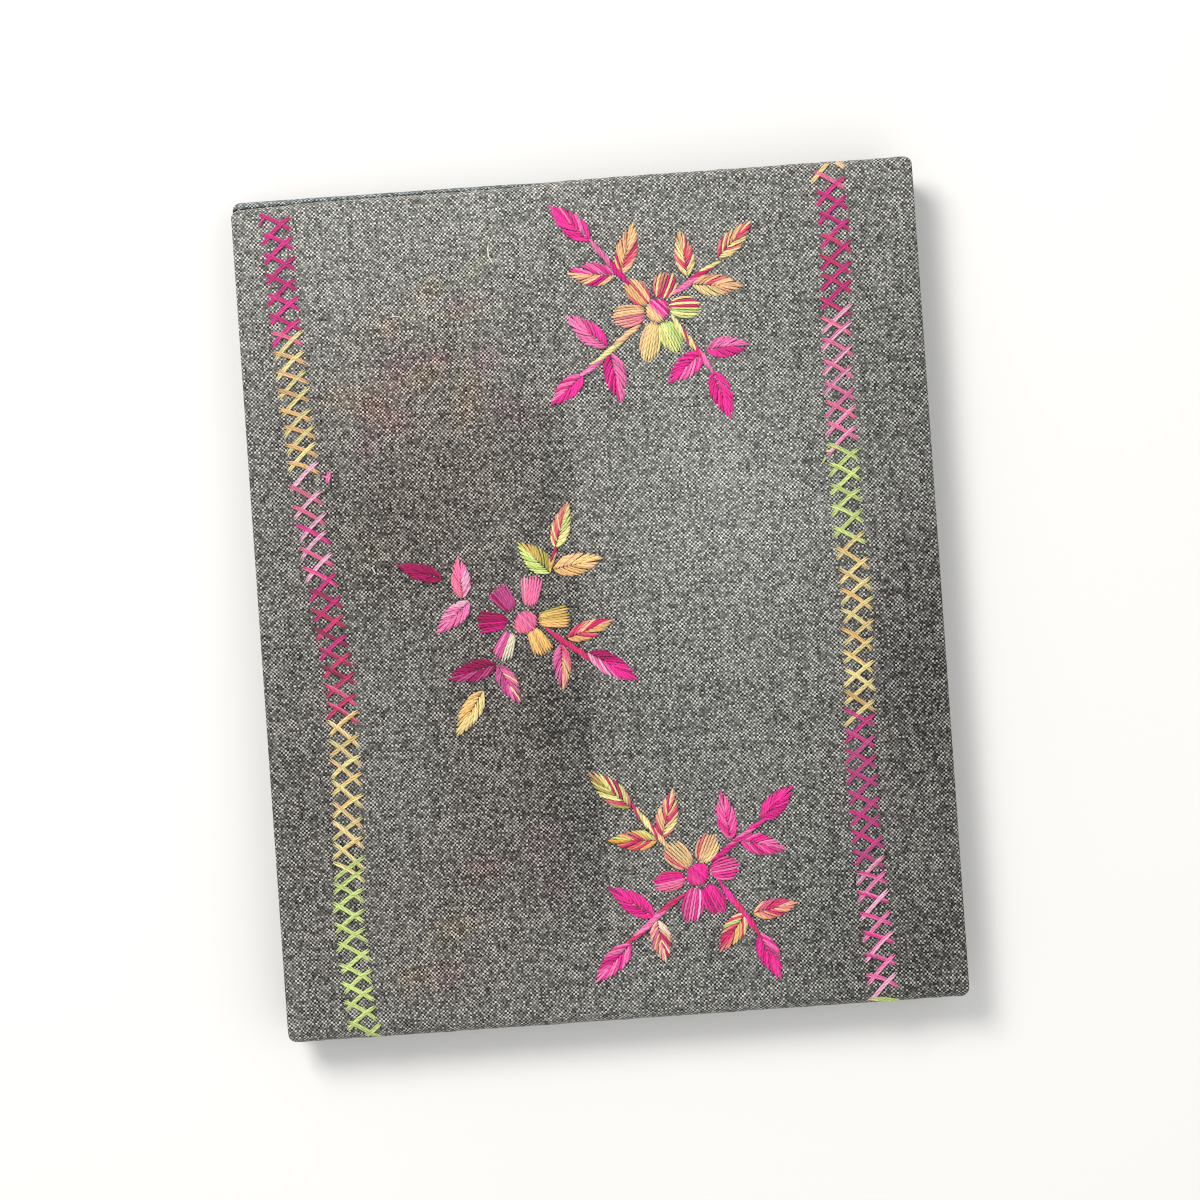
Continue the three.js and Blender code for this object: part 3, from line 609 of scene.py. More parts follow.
def paint_shade(mesh, gains):
    """Stores the shade of each point of the cloth: its tint as the colour, its depth as the alpha."""
    depth = gains.mean(axis=-1, keepdims=True)
    paint_points(mesh, "shade", gains / depth, depth)


def map_cloth(mesh, places):
    """A UV map in metres of cloth, from each point's place across and along the cloth."""
    layer = mesh.uv_layers.new(name="cloth")
    corners = np.zeros(len(mesh.loops), np.int32)
    mesh.loops.foreach_get("vertex_index", corners)
    layer.data.foreach_set("uv", (places[corners] * MM).astype(np.float32).ravel())


def point_outwards(piece):
    """Turns the faces of a closed piece so that they point outwards."""
    mesh = piece.data
    mesh.calc_loop_triangles()
    points = np.zeros(len(mesh.vertices) * 3)
    mesh.vertices.foreach_get("co", points)
    points = points.reshape(-1, 3)
    corners = np.zeros(len(mesh.loop_triangles) * 3, np.int32)
    mesh.loop_triangles.foreach_get("vertices", corners)
    a, b, c = (points[corners.reshape(-1, 3)[:, i]] for i in range(3))
    if (a * np.cross(b, c)).sum() < 0:
        mesh.flip_normals()


def smooth(piece):
    piece.data.polygons.foreach_set("use_smooth", [True] * len(piece.data.polygons))
    return piece


def second_shade(x, y):
    """The painted shade of the layer behind the face: bluer, with a painted shadow in the crack where the
    face's fold lies on it, and painted light on the strip that lies open beyond that fold.
    """
    # Painted shadow in the crack under the face's fold, painted light on the open strip, plain cloth further
    # under the face.
    crack_shadow, open_strip_light, under_the_face = 0.03, 1.3, 0.8
    bluer = np.array([0.9, 0.98, 1.06])
    from_fold = y - FACE.head.edge(x)
    open_share = np.clip((from_fold - 0.6) / 0.8, 0, 1)
    hidden_share = np.clip((-from_fold - 0.5) / 2.5, 0, 1)
    gain = crack_shadow + open_strip_light * open_share + under_the_face * hidden_share
    return gain[..., None] * bluer


def cloth_wall(name, sheet, step, fold_step, material, shade_at):
    """A sheet with its lengthwise edges rounded over, thickened into a cloth wall."""
    # Across the cloth, each point has its x, its depth under the surface and its place when flat.
    lip, lip_points = LAYER, 7
    flat = np.linspace(-HALF_WIDTH + lip, HALF_WIDTH - lip, round(2 * HALF_WIDTH / step))
    turns = np.linspace(0, math.pi, lip_points)[1:]
    left = [(-HALF_WIDTH + lip - lip * math.sin(t), lip - lip * math.cos(t), -HALF_WIDTH + lip - lip * t)
            for t in turns[::-1]]
    right = [(-x, depth, -across) for x, depth, across in reversed(left)]
    profile = np.array([*left, *((x, 0, x) for x in flat), *right])
    x, depth, across = profile.T
    along = sheet.rows(x, step, fold_step)
    place, normal = sheet.at(np.broadcast_to(x, along.shape), along)
    points = (place - normal * depth[None, :, None]).reshape(-1, 3)
    faces = grid_faces(len(along), len(x))
    if sheet.facing < 0:
        faces = faces[:, ::-1]
    piece = new_mesh_object(name, points, faces.tolist())
    cloth_places = np.stack([np.broadcast_to(across, along.shape), along], axis=-1).reshape(-1, 2)
    map_cloth(piece.data, cloth_places)
    paint_shade(piece.data, shade_at(cloth_places[:, 0], cloth_places[:, 1]))
    piece.data.materials.append(material)
    smooth(piece)
    solidify = piece.modifiers.new("Cloth Wall", "SOLIDIFY")
    solidify.thickness = CLOTH_WALL * MM
    solidify.offset = -1
    solidify.use_even_offset = False
    return piece


# ---------------------------------------------------------------- node helpers


def add_node(tree, kind, inputs=None, **settings):
    """A node with its settings, and its inputs given as values or as sockets to link."""
    node = tree.nodes.new(kind)
    for name, value in settings.items():
        setattr(node, name, value)
    for name, value in (inputs or {}).items():
        if isinstance(value, bpy.types.NodeSocket):
            tree.links.new(value, node.inputs[name])
        else:
            node.inputs[name].default_value = value
    return node


def math_node(tree, operation, *values):
    return add_node(tree, "ShaderNodeMath", dict(enumerate(values)), operation=operation).outputs[0]


def vector_math(tree, operation, *values):
    return add_node(tree, "ShaderNodeVectorMath", dict(enumerate(values)), operation=operation).outputs[0]


def scaled(tree, vector, scale):
    return add_node(tree, "ShaderNodeVectorMath", {0: vector, "Scale": scale}, operation="SCALE").outputs[0]


def combine(tree, *values):
    return add_node(tree, "ShaderNodeCombineXYZ", dict(enumerate(values))).outputs[0]


def mix_colour(tree, factor, a, b, blend="MIX"):
    """Two colours mixed, each a socket or a plain colour of three numbers."""
    a, b = (end if isinstance(end, bpy.types.NodeSocket) else (*end, 1) for end in (a, b))
    # The mix node keeps its factor at socket 0, its colours at 6 and 7, and their mix at 2.
    return add_node(tree, "ShaderNodeMix", {0: factor, 6: a, 7: b}, data_type="RGBA", blend_type=blend,
                    clamp_factor=True).outputs[2]


def multiplied(tree, colour, gain):
    """A colour times a gain, or times another colour."""
    return mix_colour(tree, 1.0, colour, gain, "MULTIPLY")


def map_range(tree, value, span, to_span=(0.0, 1.0), **settings):
    """A value that goes over one span, taken over another."""
    return add_node(tree, "ShaderNodeMapRange", {
        "Value": value, "From Min": span[0], "From Max": span[1], "To Min": to_span[0],
        "To Max": to_span[1]}, **settings).outputs[0]


def noise(tree, vector, scale, detail=2.0, roughness=0.6):
    node = add_node(tree, "ShaderNodeTexNoise",
                    {"Vector": vector, "Scale": scale, "Detail": detail, "Roughness": roughness})
    return node.outputs["Fac"]


def wandering(tree, noise_inputs, reach, **settings):
    """A vector that strays to every side from place to place, by up to about half the reach."""
    stray = add_node(tree, "ShaderNodeTexNoise", noise_inputs, **settings).outputs["Color"]
    return scaled(tree, vector_math(tree, "SUBTRACT", stray, (0.5, 0.5, 0.5)), reach)


def attribute(tree, name):
    """What a material reads from a named attribute of the mesh."""
    return add_node(tree, "ShaderNodeAttribute", attribute_name=name).outputs


def new_group(name, kind, inputs, outputs):
    """A node group with named sockets, and its inner ends."""
    tree = bpy.data.node_groups.new(name, kind)
    for label, socket_type, default in inputs:
        socket = tree.interface.new_socket(label, in_out="INPUT", socket_type=socket_type)
        if default is not None:
            socket.default_value = default
    for label, socket_type in outputs:
        tree.interface.new_socket(label, in_out="OUTPUT", socket_type=socket_type)
    return tree, tree.nodes.new("NodeGroupInput"), tree.nodes.new("NodeGroupOutput")


# ---------------------------------------------------------------- materials


def new_material(name, finish):
    """A material, its node tree and its surface shader, with the shader inputs that stay even."""
    material = bpy.data.materials.new(name)
    material.use_nodes = True
    shader = material.node_tree.nodes["Principled BSDF"]
    for label, value in finish.items():
        shader.inputs[label].default_value = value
    return material, material.node_tree, shader


def plain_weave_group():
    """Plain weave: the tone of the yarn on top, from dark to light, and the height of the cloth."""
    tree, inside, outside = new_group(
        "Plain Weave", "ShaderNodeTree",
        [("Cloth Place", "NodeSocketVector", None), ("Pitch", "NodeSocketFloat", 0.00066),
         ("Waver", "NodeSocketFloat", 0.00035)],
        [("Tone", "NodeSocketFloat"), ("Height", "NodeSocketFloat")])
    place, pitch, waver = (inside.outputs[name] for name in ("Cloth Place", "Pitch", "Waver"))
    stray = wandering(tree, {"Vector": place, "Scale": 300.0, "Detail": 3.0, "Roughness": 0.7}, waver)
    split = add_node(tree, "ShaderNodeSeparateXYZ", {0: vector_math(tree, "ADD", place, stray)})
    across = math_node(tree, "DIVIDE", split.outputs[0], pitch)
    along = math_node(tree, "DIVIDE", split.outputs[1], pitch)
    column, row = math_node(tree, "FLOOR", across), math_node(tree, "FLOOR", along)
    in_column = math_node(tree, "SUBTRACT", math_node(tree, "FRACT", across), 0.5)
    in_row = math_node(tree, "SUBTRACT", math_node(tree, "FRACT", along), 0.5)
    weft_on_top = math_node(tree, "PINGPONG", math_node(tree, "ADD", column, row), 1.0)

    def bulge(beside, lengthwise):
        """The height of a yarn, which is round and bows over the yarn that it crosses."""
        round_side = math_node(tree, "COSINE", math_node(tree, "MULTIPLY", beside, math.pi))
        bow = math_node(tree, "COSINE", math_node(tree, "MULTIPLY", lengthwise, 0.9 * math.pi))
        rounded = math_node(tree, "SQRT", math_node(tree, "MAXIMUM", round_side, 0.0))
        return math_node(tree, "MULTIPLY", rounded, math_node(tree, "MULTIPLY_ADD", bow, 0.55, 0.45))

    def yarn_tone(index, lengthwise, seed):
        """The tone of one yarn, and of its slubs, which are drawn out along it."""
        each = add_node(tree, "ShaderNodeTexWhiteNoise", {"W": math_node(tree, "ADD", index, seed)},
                        noise_dimensions="1D")
        stretched = combine(tree, math_node(tree, "MULTIPLY", index, 3.7),
                            math_node(tree, "MULTIPLY", lengthwise, 0.16), seed)
        slub = noise(tree, stretched, 1.0, 3.0)
        return math_node(tree, "ADD", math_node(tree, "MULTIPLY", each.outputs["Value"], 0.5),
                         math_node(tree, "MULTIPLY", slub, 0.5))

    def choose(warp, weft):
        """What the yarn on top has."""
        inputs = {0: weft_on_top, 2: warp, 3: weft}
        return add_node(tree, "ShaderNodeMix", inputs, data_type="FLOAT").outputs[0]

    crossing = {"Vector": combine(tree, column, row)}
    each_crossing = add_node(tree, "ShaderNodeTexWhiteNoise", crossing).outputs["Value"]
    yarn = choose(yarn_tone(column, along, 11.0), yarn_tone(row, across, 47.0))
    tone = math_node(tree, "MULTIPLY_ADD", each_crossing, 0.11, math_node(tree, "MULTIPLY", yarn, 0.10))
    weft_tone = math_node(tree, "MULTIPLY_ADD", each_crossing, 0.16, 0.10)
    tone = math_node(tree, "MULTIPLY_ADD", weft_on_top, weft_tone, tone)
    tree.links.new(tone, outside.inputs["Tone"])
    tree.links.new(choose(bulge(in_column, in_row), bulge(in_row, in_column)), outside.inputs["Height"])
    return tree


def cloth_material(weave, cloth):
    """Grey melange wool in plain weave, with slubs, light fibres and a soft nap."""
    material, tree, shader = new_material("Melange Wool Cloth", {
        "Specular IOR Level": 0.15, "Sheen Weight": 0.10, "Sheen Roughness": 0.5})
    uv = add_node(tree, "ShaderNodeUVMap", uv_map="cloth").outputs[0]
    woven = add_node(tree, "ShaderNodeGroup", {
        "Cloth Place": uv, "Pitch": cloth.pitch, "Waver": cloth.waver}, node_tree=weave)
    clumps = noise(tree, uv, 1100.0, 3.0, 0.7)
    tone = math_node(tree, "MULTIPLY_ADD", math_node(tree, "SUBTRACT", clumps, 0.5), 0.17,
                     woven.outputs["Tone"])
    # Where the cloth is in shade its dark wool shows more, and its light wool loses only a part.
    shade = attribute(tree, "shade")
    depth = math_node(tree, "POWER", shade["Alpha"], 0.35)
    tone = math_node(tree, "ADD", tone, math_node(tree, "MULTIPLY_ADD", depth, 0.24, -0.24))
    lightness = map_range(tree, tone, (0.016, 0.59), interpolation_type="SMOOTHSTEP")
    yarn = mix_colour(tree, lightness, tuple(cloth.dark_yarn), tuple(cloth.light_yarn))
    # Painted shade: the yarn darkens down into the valleys between the crossings of the weave.
    valley_shade = map_range(tree, woven.outputs["Height"], (0.0, 0.5), (0.12, 1.0))
    yarn = multiplied(tree, yarn, valley_shade)
    for stretch, reach in (((260.0, 6.0, 1.0), 0.22), ((8.0, 150.0, 1.0), 0.16)):
        streak = noise(tree, vector_math(tree, "MULTIPLY", uv, stretch), 1.0, 3.0)
        gain = math_node(tree, "MULTIPLY_ADD", streak, reach, 1.0 - reach / 2)
        yarn = multiplied(tree, yarn, gain)
    yarn = multiplied(tree, multiplied(tree, yarn, shade["Color"]), depth)
    tree.links.new(yarn, shader.inputs["Base Color"])
    fibre = noise(tree, uv, 4200.0, 2.0)
    height = math_node(tree, "MULTIPLY_ADD", fibre, 0.35, woven.outputs["Height"])
    bump = add_node(tree, "ShaderNodeBump", {"Height": height, "Strength": 0.8, "Distance": 0.00016})
    tree.links.new(bump.outputs[0], shader.inputs["Normal"])
    rough = math_node(tree, "MULTIPLY_ADD", clumps, 0.2, 0.76)
    tree.links.new(rough, shader.inputs["Roughness"])
    return material


def thread_material(thread):
    """Wool embroidery thread: two plies twisted together, with streaks and loose fibres."""
    material, tree, shader = new_material("Wool Embroidery Thread", {
        "Specular IOR Level": 0.2, "Sheen Weight": 0.12, "Sheen Roughness": 0.4})
    wool, ring = attribute(tree, "wool")["Color"], attribute(tree, "ring")["Vector"]
    along, grain = attribute(tree, "along")["Fac"], attribute(tree, "grain")["Fac"]
    cosine, sine, _ = add_node(tree, "ShaderNodeSeparateXYZ", {0: ring}).outputs
    turn = math_node(tree, "MULTIPLY_ADD", along, 2 * math.pi / thread.twist,
                     math_node(tree, "MULTIPLY", grain, 6.28))
    # There are two plies, so their height follows twice the angle round the thread.
    double_sine = math_node(tree, "MULTIPLY", math_node(tree, "MULTIPLY", sine, cosine), 2.0)
    double_cosine = math_node(tree, "MULTIPLY_ADD", math_node(tree, "MULTIPLY", cosine, cosine), 2.0, -1.0)
    plies = math_node(tree, "SUBTRACT",
                      math_node(tree, "MULTIPLY", double_sine, math_node(tree, "COSINE", turn)),
                      math_node(tree, "MULTIPLY", double_cosine, math_node(tree, "SINE", turn)))
    ply_height = math_node(tree, "SQRT", math_node(tree, "MULTIPLY_ADD", plies, 0.5, 0.5001))
    fibre_place = combine(tree, *(math_node(tree, "MULTIPLY", value, stretch) for value, stretch in (
        (plies, 2.2), (along, 900.0), (grain, 40.0))))
    fibres = noise(tree, fibre_place, 1.6, 4.0, 0.7)
    # Painted shade: the wool darkens in the groove between the two plies.
    groove_shade = map_range(tree, ply_height, (0.0, 0.6), (0.55, 1.03))
    streak = map_range(tree, fibres, (0.3, 0.7), (0.72, 1.22))
    each = math_node(tree, "MULTIPLY_ADD", grain, 0.3, 0.85)
    colour = wool
    for gain in (groove_shade, streak, each):
        colour = multiplied(tree, colour, gain)
    tree.links.new(colour, shader.inputs["Base Color"])
    height = math_node(tree, "MULTIPLY_ADD", fibres, 0.5, ply_height)
    bump = add_node(tree, "ShaderNodeBump", {"Height": height, "Strength": 0.7, "Distance": 0.0003})
    tree.links.new(bump.outputs[0], shader.inputs["Normal"])
    tree.links.new(math_node(tree, "MULTIPLY_ADD", fibres, 0.25, 0.5), shader.inputs["Roughness"])
    return material


def floor_material(colour):
    """A pale floor with a faint mottle."""
    material, tree, shader = new_material("Pale Floor", {"Roughness": 0.8})
    place = add_node(tree, "ShaderNodeTexCoord").outputs["Object"]
    tone = math_node(tree, "MULTIPLY_ADD", noise(tree, place, 3.0), 0.05, 0.975)
    tree.links.new(multiplied(tree, tuple(colour), tone), shader.inputs["Base Color"])
    return material


# ---------------------------------------------------------------- worked thread


def worked_thread_tree():
    """Geometry Nodes that lay thread along guides: each guide becomes one raised, rounded stitch."""
    tree, inside, outside = new_group(
        "Worked Thread", "GeometryNodeTree",
        [("Geometry", "NodeSocketGeometry", None), ("Thread Radius", "NodeSocketFloat", 0.0005),
         ("Rise", "NodeSocketFloat", 0.0006), ("Points", "NodeSocketInt", 9),
         ("Sides", "NodeSocketInt", 8), ("Wander", "NodeSocketFloat", 0.00012),
         ("Seed", "NodeSocketInt", 7), ("Material", "NodeSocketMaterial", None)],
        [("Geometry", "NodeSocketGeometry")])
    given = inside.outputs

    def named(name, data_type):
        node = add_node(tree, "GeometryNodeInputNamedAttribute", {"Name": name}, data_type=data_type)
        return node.outputs["Attribute"]

    curves = add_node(tree, "GeometryNodeMeshToCurve", {"Mesh": given["Geometry"]})
    soft = add_node(tree, "GeometryNodeCurveSplineType", {"Curve": curves.outputs[0]},
                    spline_type="CATMULL_ROM")
    even = add_node(tree, "GeometryNodeResampleCurve", {
        "Curve": soft.outputs[0], "Count": given["Points"]}, mode="COUNT")
    parameter = add_node(tree, "GeometryNodeSplineParameter")
    two_sided = math_node(tree, "MULTIPLY_ADD", parameter.outputs["Factor"], 2.0, -1.0)
    from_middle = math_node(tree, "ABSOLUTE", two_sided)
    # A stitch comes up steeply, runs nearly level and goes down again, and is thinner at its ends.
    arch = math_node(tree, "SUBTRACT", 1.0, math_node(tree, "POWER", from_middle, 4.0))
    height = math_node(tree, "MULTIPLY_ADD", arch, given["Rise"],
                       math_node(tree, "MULTIPLY", named("lift", "FLOAT"), MM))
    offset = scaled(tree, named("up", "FLOAT_VECTOR"), height)
    place = add_node(tree, "GeometryNodeInputPosition").outputs[0]
    wander = wandering(tree, {"Vector": place, "Scale": 420.0, "Detail": 1.0, "W": given["Seed"]},
                       given["Wander"], noise_dimensions="4D")
    raised = add_node(tree, "GeometryNodeSetPosition", {
        "Geometry": even.outputs[0], "Offset": vector_math(tree, "ADD", offset, wander)})
    taper = math_node(tree, "SUBTRACT", 1.0, math_node(
        tree, "MULTIPLY", math_node(tree, "POWER", from_middle, 8.0), 0.65))
    girth = math_node(tree, "MULTIPLY", math_node(tree, "MULTIPLY", named("girth", "FLOAT"), taper),
                      given["Thread Radius"])
    sized = add_node(tree, "GeometryNodeSetCurveRadius", {"Curve": raised.outputs[0], "Radius": girth})
    measured = add_node(tree, "GeometryNodeStoreNamedAttribute", {
        "Geometry": sized.outputs[0], "Name": "along", "Value": parameter.outputs["Length"]},
        data_type="FLOAT", domain="POINT")
    circle = add_node(tree, "GeometryNodeCurvePrimitiveCircle", {"Resolution": given["Sides"], "Radius": 1.0})
    ringed = add_node(tree, "GeometryNodeStoreNamedAttribute", {
        "Geometry": circle.outputs[0], "Name": "ring", "Value": place}, data_type="FLOAT_VECTOR",
        domain="POINT")
    radius = add_node(tree, "GeometryNodeInputRadius")
    tube = add_node(tree, "GeometryNodeCurveToMesh", {
        "Curve": measured.outputs[0], "Profile Curve": ringed.outputs[0], "Scale": radius.outputs[0],
        "Fill Caps": True})
    rounded = add_node(tree, "GeometryNodeSetShadeSmooth", {"Geometry": tube.outputs[0]})
    real = add_node(tree, "GeometryNodeRealizeInstances", {"Geometry": rounded.outputs[0]})
    dyed = add_node(tree, "GeometryNodeSetMaterial", {
        "Geometry": real.outputs[0], "Material": given["Material"]})
    tree.links.new(dyed.outputs[0], outside.inputs["Geometry"])
    return tree


class Guides:
    """The lines that stitches follow on the face, with each stitch's wool, lift and girth."""

    def __init__(self, seed, dulled=0.0):
        self.chance, self.dulled = random.Random(seed), dulled
        self.places, self.ups, self.edges = [], [], []
        self.lifts, self.girths, self.wools, self.grains = [], [], [], []

    def wool(self, names):
        """One of the wools named, as a colour that varies a little from stitch to stitch."""
        colour = np.array(linear(WOOLS[self.chance.choice(names.split())]))
        colour = colour * (1 - self.dulled) + DULL_GREY * self.dulled
        return colour * self.chance.uniform(0.76, 1.1)

    def stitch(self, path, wools, lift=0.0, lift_end=None, girth=1.0):
        """A stitch along places (x, along) on the face, whose wool changes a little on its way."""
        path = np.array(path, float)
        place, up = FACE.at(path[:, 0], path[:, 1])
        first = len(self.places)
        start = self.wool(wools)
        end = self.wool(wools) * 0.4 + start * 0.6
        grain = self.chance.random()
        for i, share in enumerate(np.linspace(0, 1, len(path))):
            self.places.append(place[i])
            self.ups.append(up[i])
            self.lifts.append(lift + ((lift if lift_end is None else lift_end) - lift) * share)
            self.girths.append(girth * self.chance.uniform(0.93, 1.07))
            self.wools.append(start + (end - start) * share)
            self.grains.append(grain)
        self.edges += [(first + i, first + i + 1) for i in range(len(path) - 1)]

    def straight(self, start, end, wools, count=4, **how):
        """A stitch straight across the cloth."""
        start, end = np.array(start, float), np.array(end, float)
        self.stitch([start + (end - start) * s for s in np.linspace(0, 1, count)], wools, **how)

    def work(self, name, tree, thread, material, radius_share=1.0, rise_share=1.0):
        """Lays thread along the guides and returns the finished piece."""
        piece = new_mesh_object(name, self.places, (), self.edges)
        mesh = piece.data
        for label, kind, values in (
            ("up", "FLOAT_VECTOR", self.ups), ("lift", "FLOAT", self.lifts),
            ("girth", "FLOAT", self.girths), ("grain", "FLOAT", self.grains),
        ):
            attribute = mesh.attributes.new(label, kind, "POINT")
            field = "vector" if kind == "FLOAT_VECTOR" else "value"
            attribute.data.foreach_set(field, np.asarray(values, np.float32).ravel())
        paint_points(mesh, "wool", np.array(self.wools))
        modifier = piece.modifiers.new("Worked Thread", "NODES")
        modifier.node_group = tree
        sockets = {item.name: item.identifier for item in tree.interface.items_tree
                   if item.in_out == "INPUT"}
        for label, value in (
            ("Thread Radius", thread.radius * radius_share), ("Rise", thread.rise * rise_share),
            ("Points", thread.points), ("Sides", thread.sides), ("Seed", thread.seed),
            ("Material", material),
        ):
            modifier[sockets[label]] = value
        return plain_mesh(piece)


def plain_mesh(piece):
    """The piece with what its modifiers make as its own mesh."""
    bpy.context.view_layer.update()
    depsgraph = bpy.context.evaluated_depsgraph_get()
    made = bpy.data.meshes.new_from_object(
        piece.evaluated_get(depsgraph), preserve_all_data_layers=True, depsgraph=depsgraph)
    made.name = piece.name
    piece.modifiers.clear()
    piece.data = made
    if not made.polygons:
        raise RuntimeError(f"{piece.name} has no faces")
    return piece


def bowed(path):
    """The path through three places with two more on the soft bow between them."""
    first, bend, last = (np.array(place, float) for place in path)
    shares = np.linspace(0, 1, 5)[:, None]
    control = 2 * bend - (first + last) / 2
    return first * (1 - shares) ** 2 + 2 * control * shares * (1 - shares) + last * shares**2


def turned(origin, angle, along, aside):
    """A place so far along a direction in degrees, and so far to its left."""
    turn = math.radians(angle)
    return (origin[0] + along * math.cos(turn) - aside * math.sin(turn),
            origin[1] + along * math.sin(turn) + aside * math.cos(turn))


def work_leaf(guides, middle, leaf):
    """A leaf of long slanting stitches, from low on its midrib out to a jagged edge."""
    base = (middle[0] + leaf["x"], middle[1] + leaf["y"])
    length, angle, threads = leaf["length"], leaf["angle"], 8
    for i in range(threads + 1):
        share = i / threads
        for side, wools in ((1, leaf["left"]), (-1, leaf["right"])):
            if i == threads and side < 0:
                continue
            # The stitch leaves the midrib at rib, and ends at out along it and about wide beside it.
            reach = guides.chance.uniform(-0.6, 0.6)
            out = length * (0.27 + 0.73 * share**0.92) + (0 if i == threads else reach)
            rib = length * 0.6 * share**1.15 + 0.3
            half = leaf["width"] / 2 - STITCH_INSET
            wide = half * math.sin(math.pi * min(1.0, out / length) ** 0.85) ** 0.9
            lean = rib + (out - rib) * 0.5
            path = (
                turned(base, angle, rib, side * 0.05),
                turned(base, angle, lean, side * (0.15 + wide * 0.56)),
                turned(base, angle, out, side * (wide + 0.25 * reach)),
            )
            guides.stitch(bowed(path), wools, lift=guides.chance.uniform(-0.3, 0.1),
                          lift_end=guides.chance.uniform(-0.3, 0.1), girth=guides.chance.uniform(0.75, 1.0))


def work_petal(guides, middle, petal, rounding):
    """A petal in satin stitch: threads side by side that fan out to a jagged edge."""
    base, threads = (middle[0] + petal["x"], middle[1] + petal["y"]), 8
    for i in range(threads):
        aside = 2 * i / (threads - 1) - 1
        foot = 0.9 * aside**2 - 0.5 + guides.chance.uniform(-0.2, 0.2)
        length = petal["length"] - rounding * abs(aside) ** 3 + guides.chance.uniform(-0.5, 0.5)
        half = petal["width"] / 2 - STITCH_INSET
        path = [turned(base, petal["angle"], along, aside * half * spread) for along, spread in (
            (foot, 0.6), ((foot + length) / 2, 0.8 + 0.06 * rounding), (length, 1.06 - 0.04 * rounding))]
        guides.stitch(bowed(path), petal["left"] if aside > 0 else petal["right"],
                      lift=guides.chance.uniform(-0.25, 0.05), girth=guides.chance.uniform(0.75, 1.0))


def work_disc(guides, middle, first_wools, second_wools):
    """The flower's middle in slanting satin stitch, with its second wools on the lower left."""
    radius, threads, slant = 3.6, 10, 48
    for i in range(threads):
        aside = radius * (2 * i / (threads - 1) - 1)
        half = max(1.6, math.sqrt(max(0, 1.15 * radius**2 - aside**2))) + guides.chance.uniform(-0.3, 0.3)
        wools = second_wools if aside > 0.6 else first_wools
        guides.straight(turned(middle, -slant, -half, -aside), turned(middle, -slant, half, -aside),
                        wools, lift=-0.05 + 0.15 * (1 - (aside / radius) ** 2))


def work_stem(guides, middle, stem):
    """A stem in stem stitch: long slanting stitches that lie side by side like a rope."""
    step, run, lean = 1.9, 6.4, 0.8
    start = (middle[0] + stem["x"], middle[1] + stem["y"])
    names = stem["wools"].split()
    count = max(2, round((stem["length"] - run) / step) + 1)
    for i in range(count):
        along = (stem["length"] - run) * i / (count - 1)
        place = len(names) * i / count + guides.chance.uniform(-0.6, 0.6)
        wool = names[min(len(names) - 1, max(0, int(place)))]
        sway = guides.chance.uniform(-0.2, 0.2)
        guides.straight(turned(start, stem["angle"], along, lean + sway),
                        turned(start, stem["angle"], along + run, -lean + sway), wool,
                        lift=-0.1 + 0.15 * (i % 2), girth=1.05)


def work_spray(name, chart, tree, thread, material):
    """One spray: stems first, then leaves, petals and the flower's middle over them."""
    guides = Guides(f"{thread.seed} {name}")
    middle = chart["middle"]
    for stem in charted(STEM_COLUMNS, chart["stems"]):
        work_stem(guides, middle, stem)
    for leaf in charted(LEAF_COLUMNS, chart["leaves"]):
        work_leaf(guides, middle, leaf)
    for petal in charted(PETAL_COLUMNS, chart["petals"]):
        work_petal(guides, middle, petal, chart["petal_rounding"])
    work_disc(guides, middle, *chart["disc"])
    piece = guides.work(f"{name}_thread", tree, thread, material)
    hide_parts(*chart["replaces"])
    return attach(piece, ROOT)


def band_stitch(guides, chart, start, run, slant, wools):
    """One stitch of a band, in two strands, from a y down its run and across the whole band."""
    line_y, line_x = zip(*chart["line"])
    bow = guides.chance.uniform(0.1, 0.9)
    sway = guides.chance.uniform(-0.35, 0.35)
    shares = np.linspace(0, 1, 11)
    along = start - run * shares
    across = np.interp(along, line_y, line_x) + slant * BAND_WIDTH * (shares - 0.5) + sway
    along = along + bow * np.sin(math.pi * shares)
    aside = np.array([run, slant * BAND_WIDTH]) / math.hypot(run, BAND_WIDTH)
    for strand in (-STRAND, STRAND):
        path = np.column_stack([across, along]) + strand * aside
        guides.stitch(path, wools, lift=0.3, lift_end=-0.15, girth=STRAND_GIRTH)


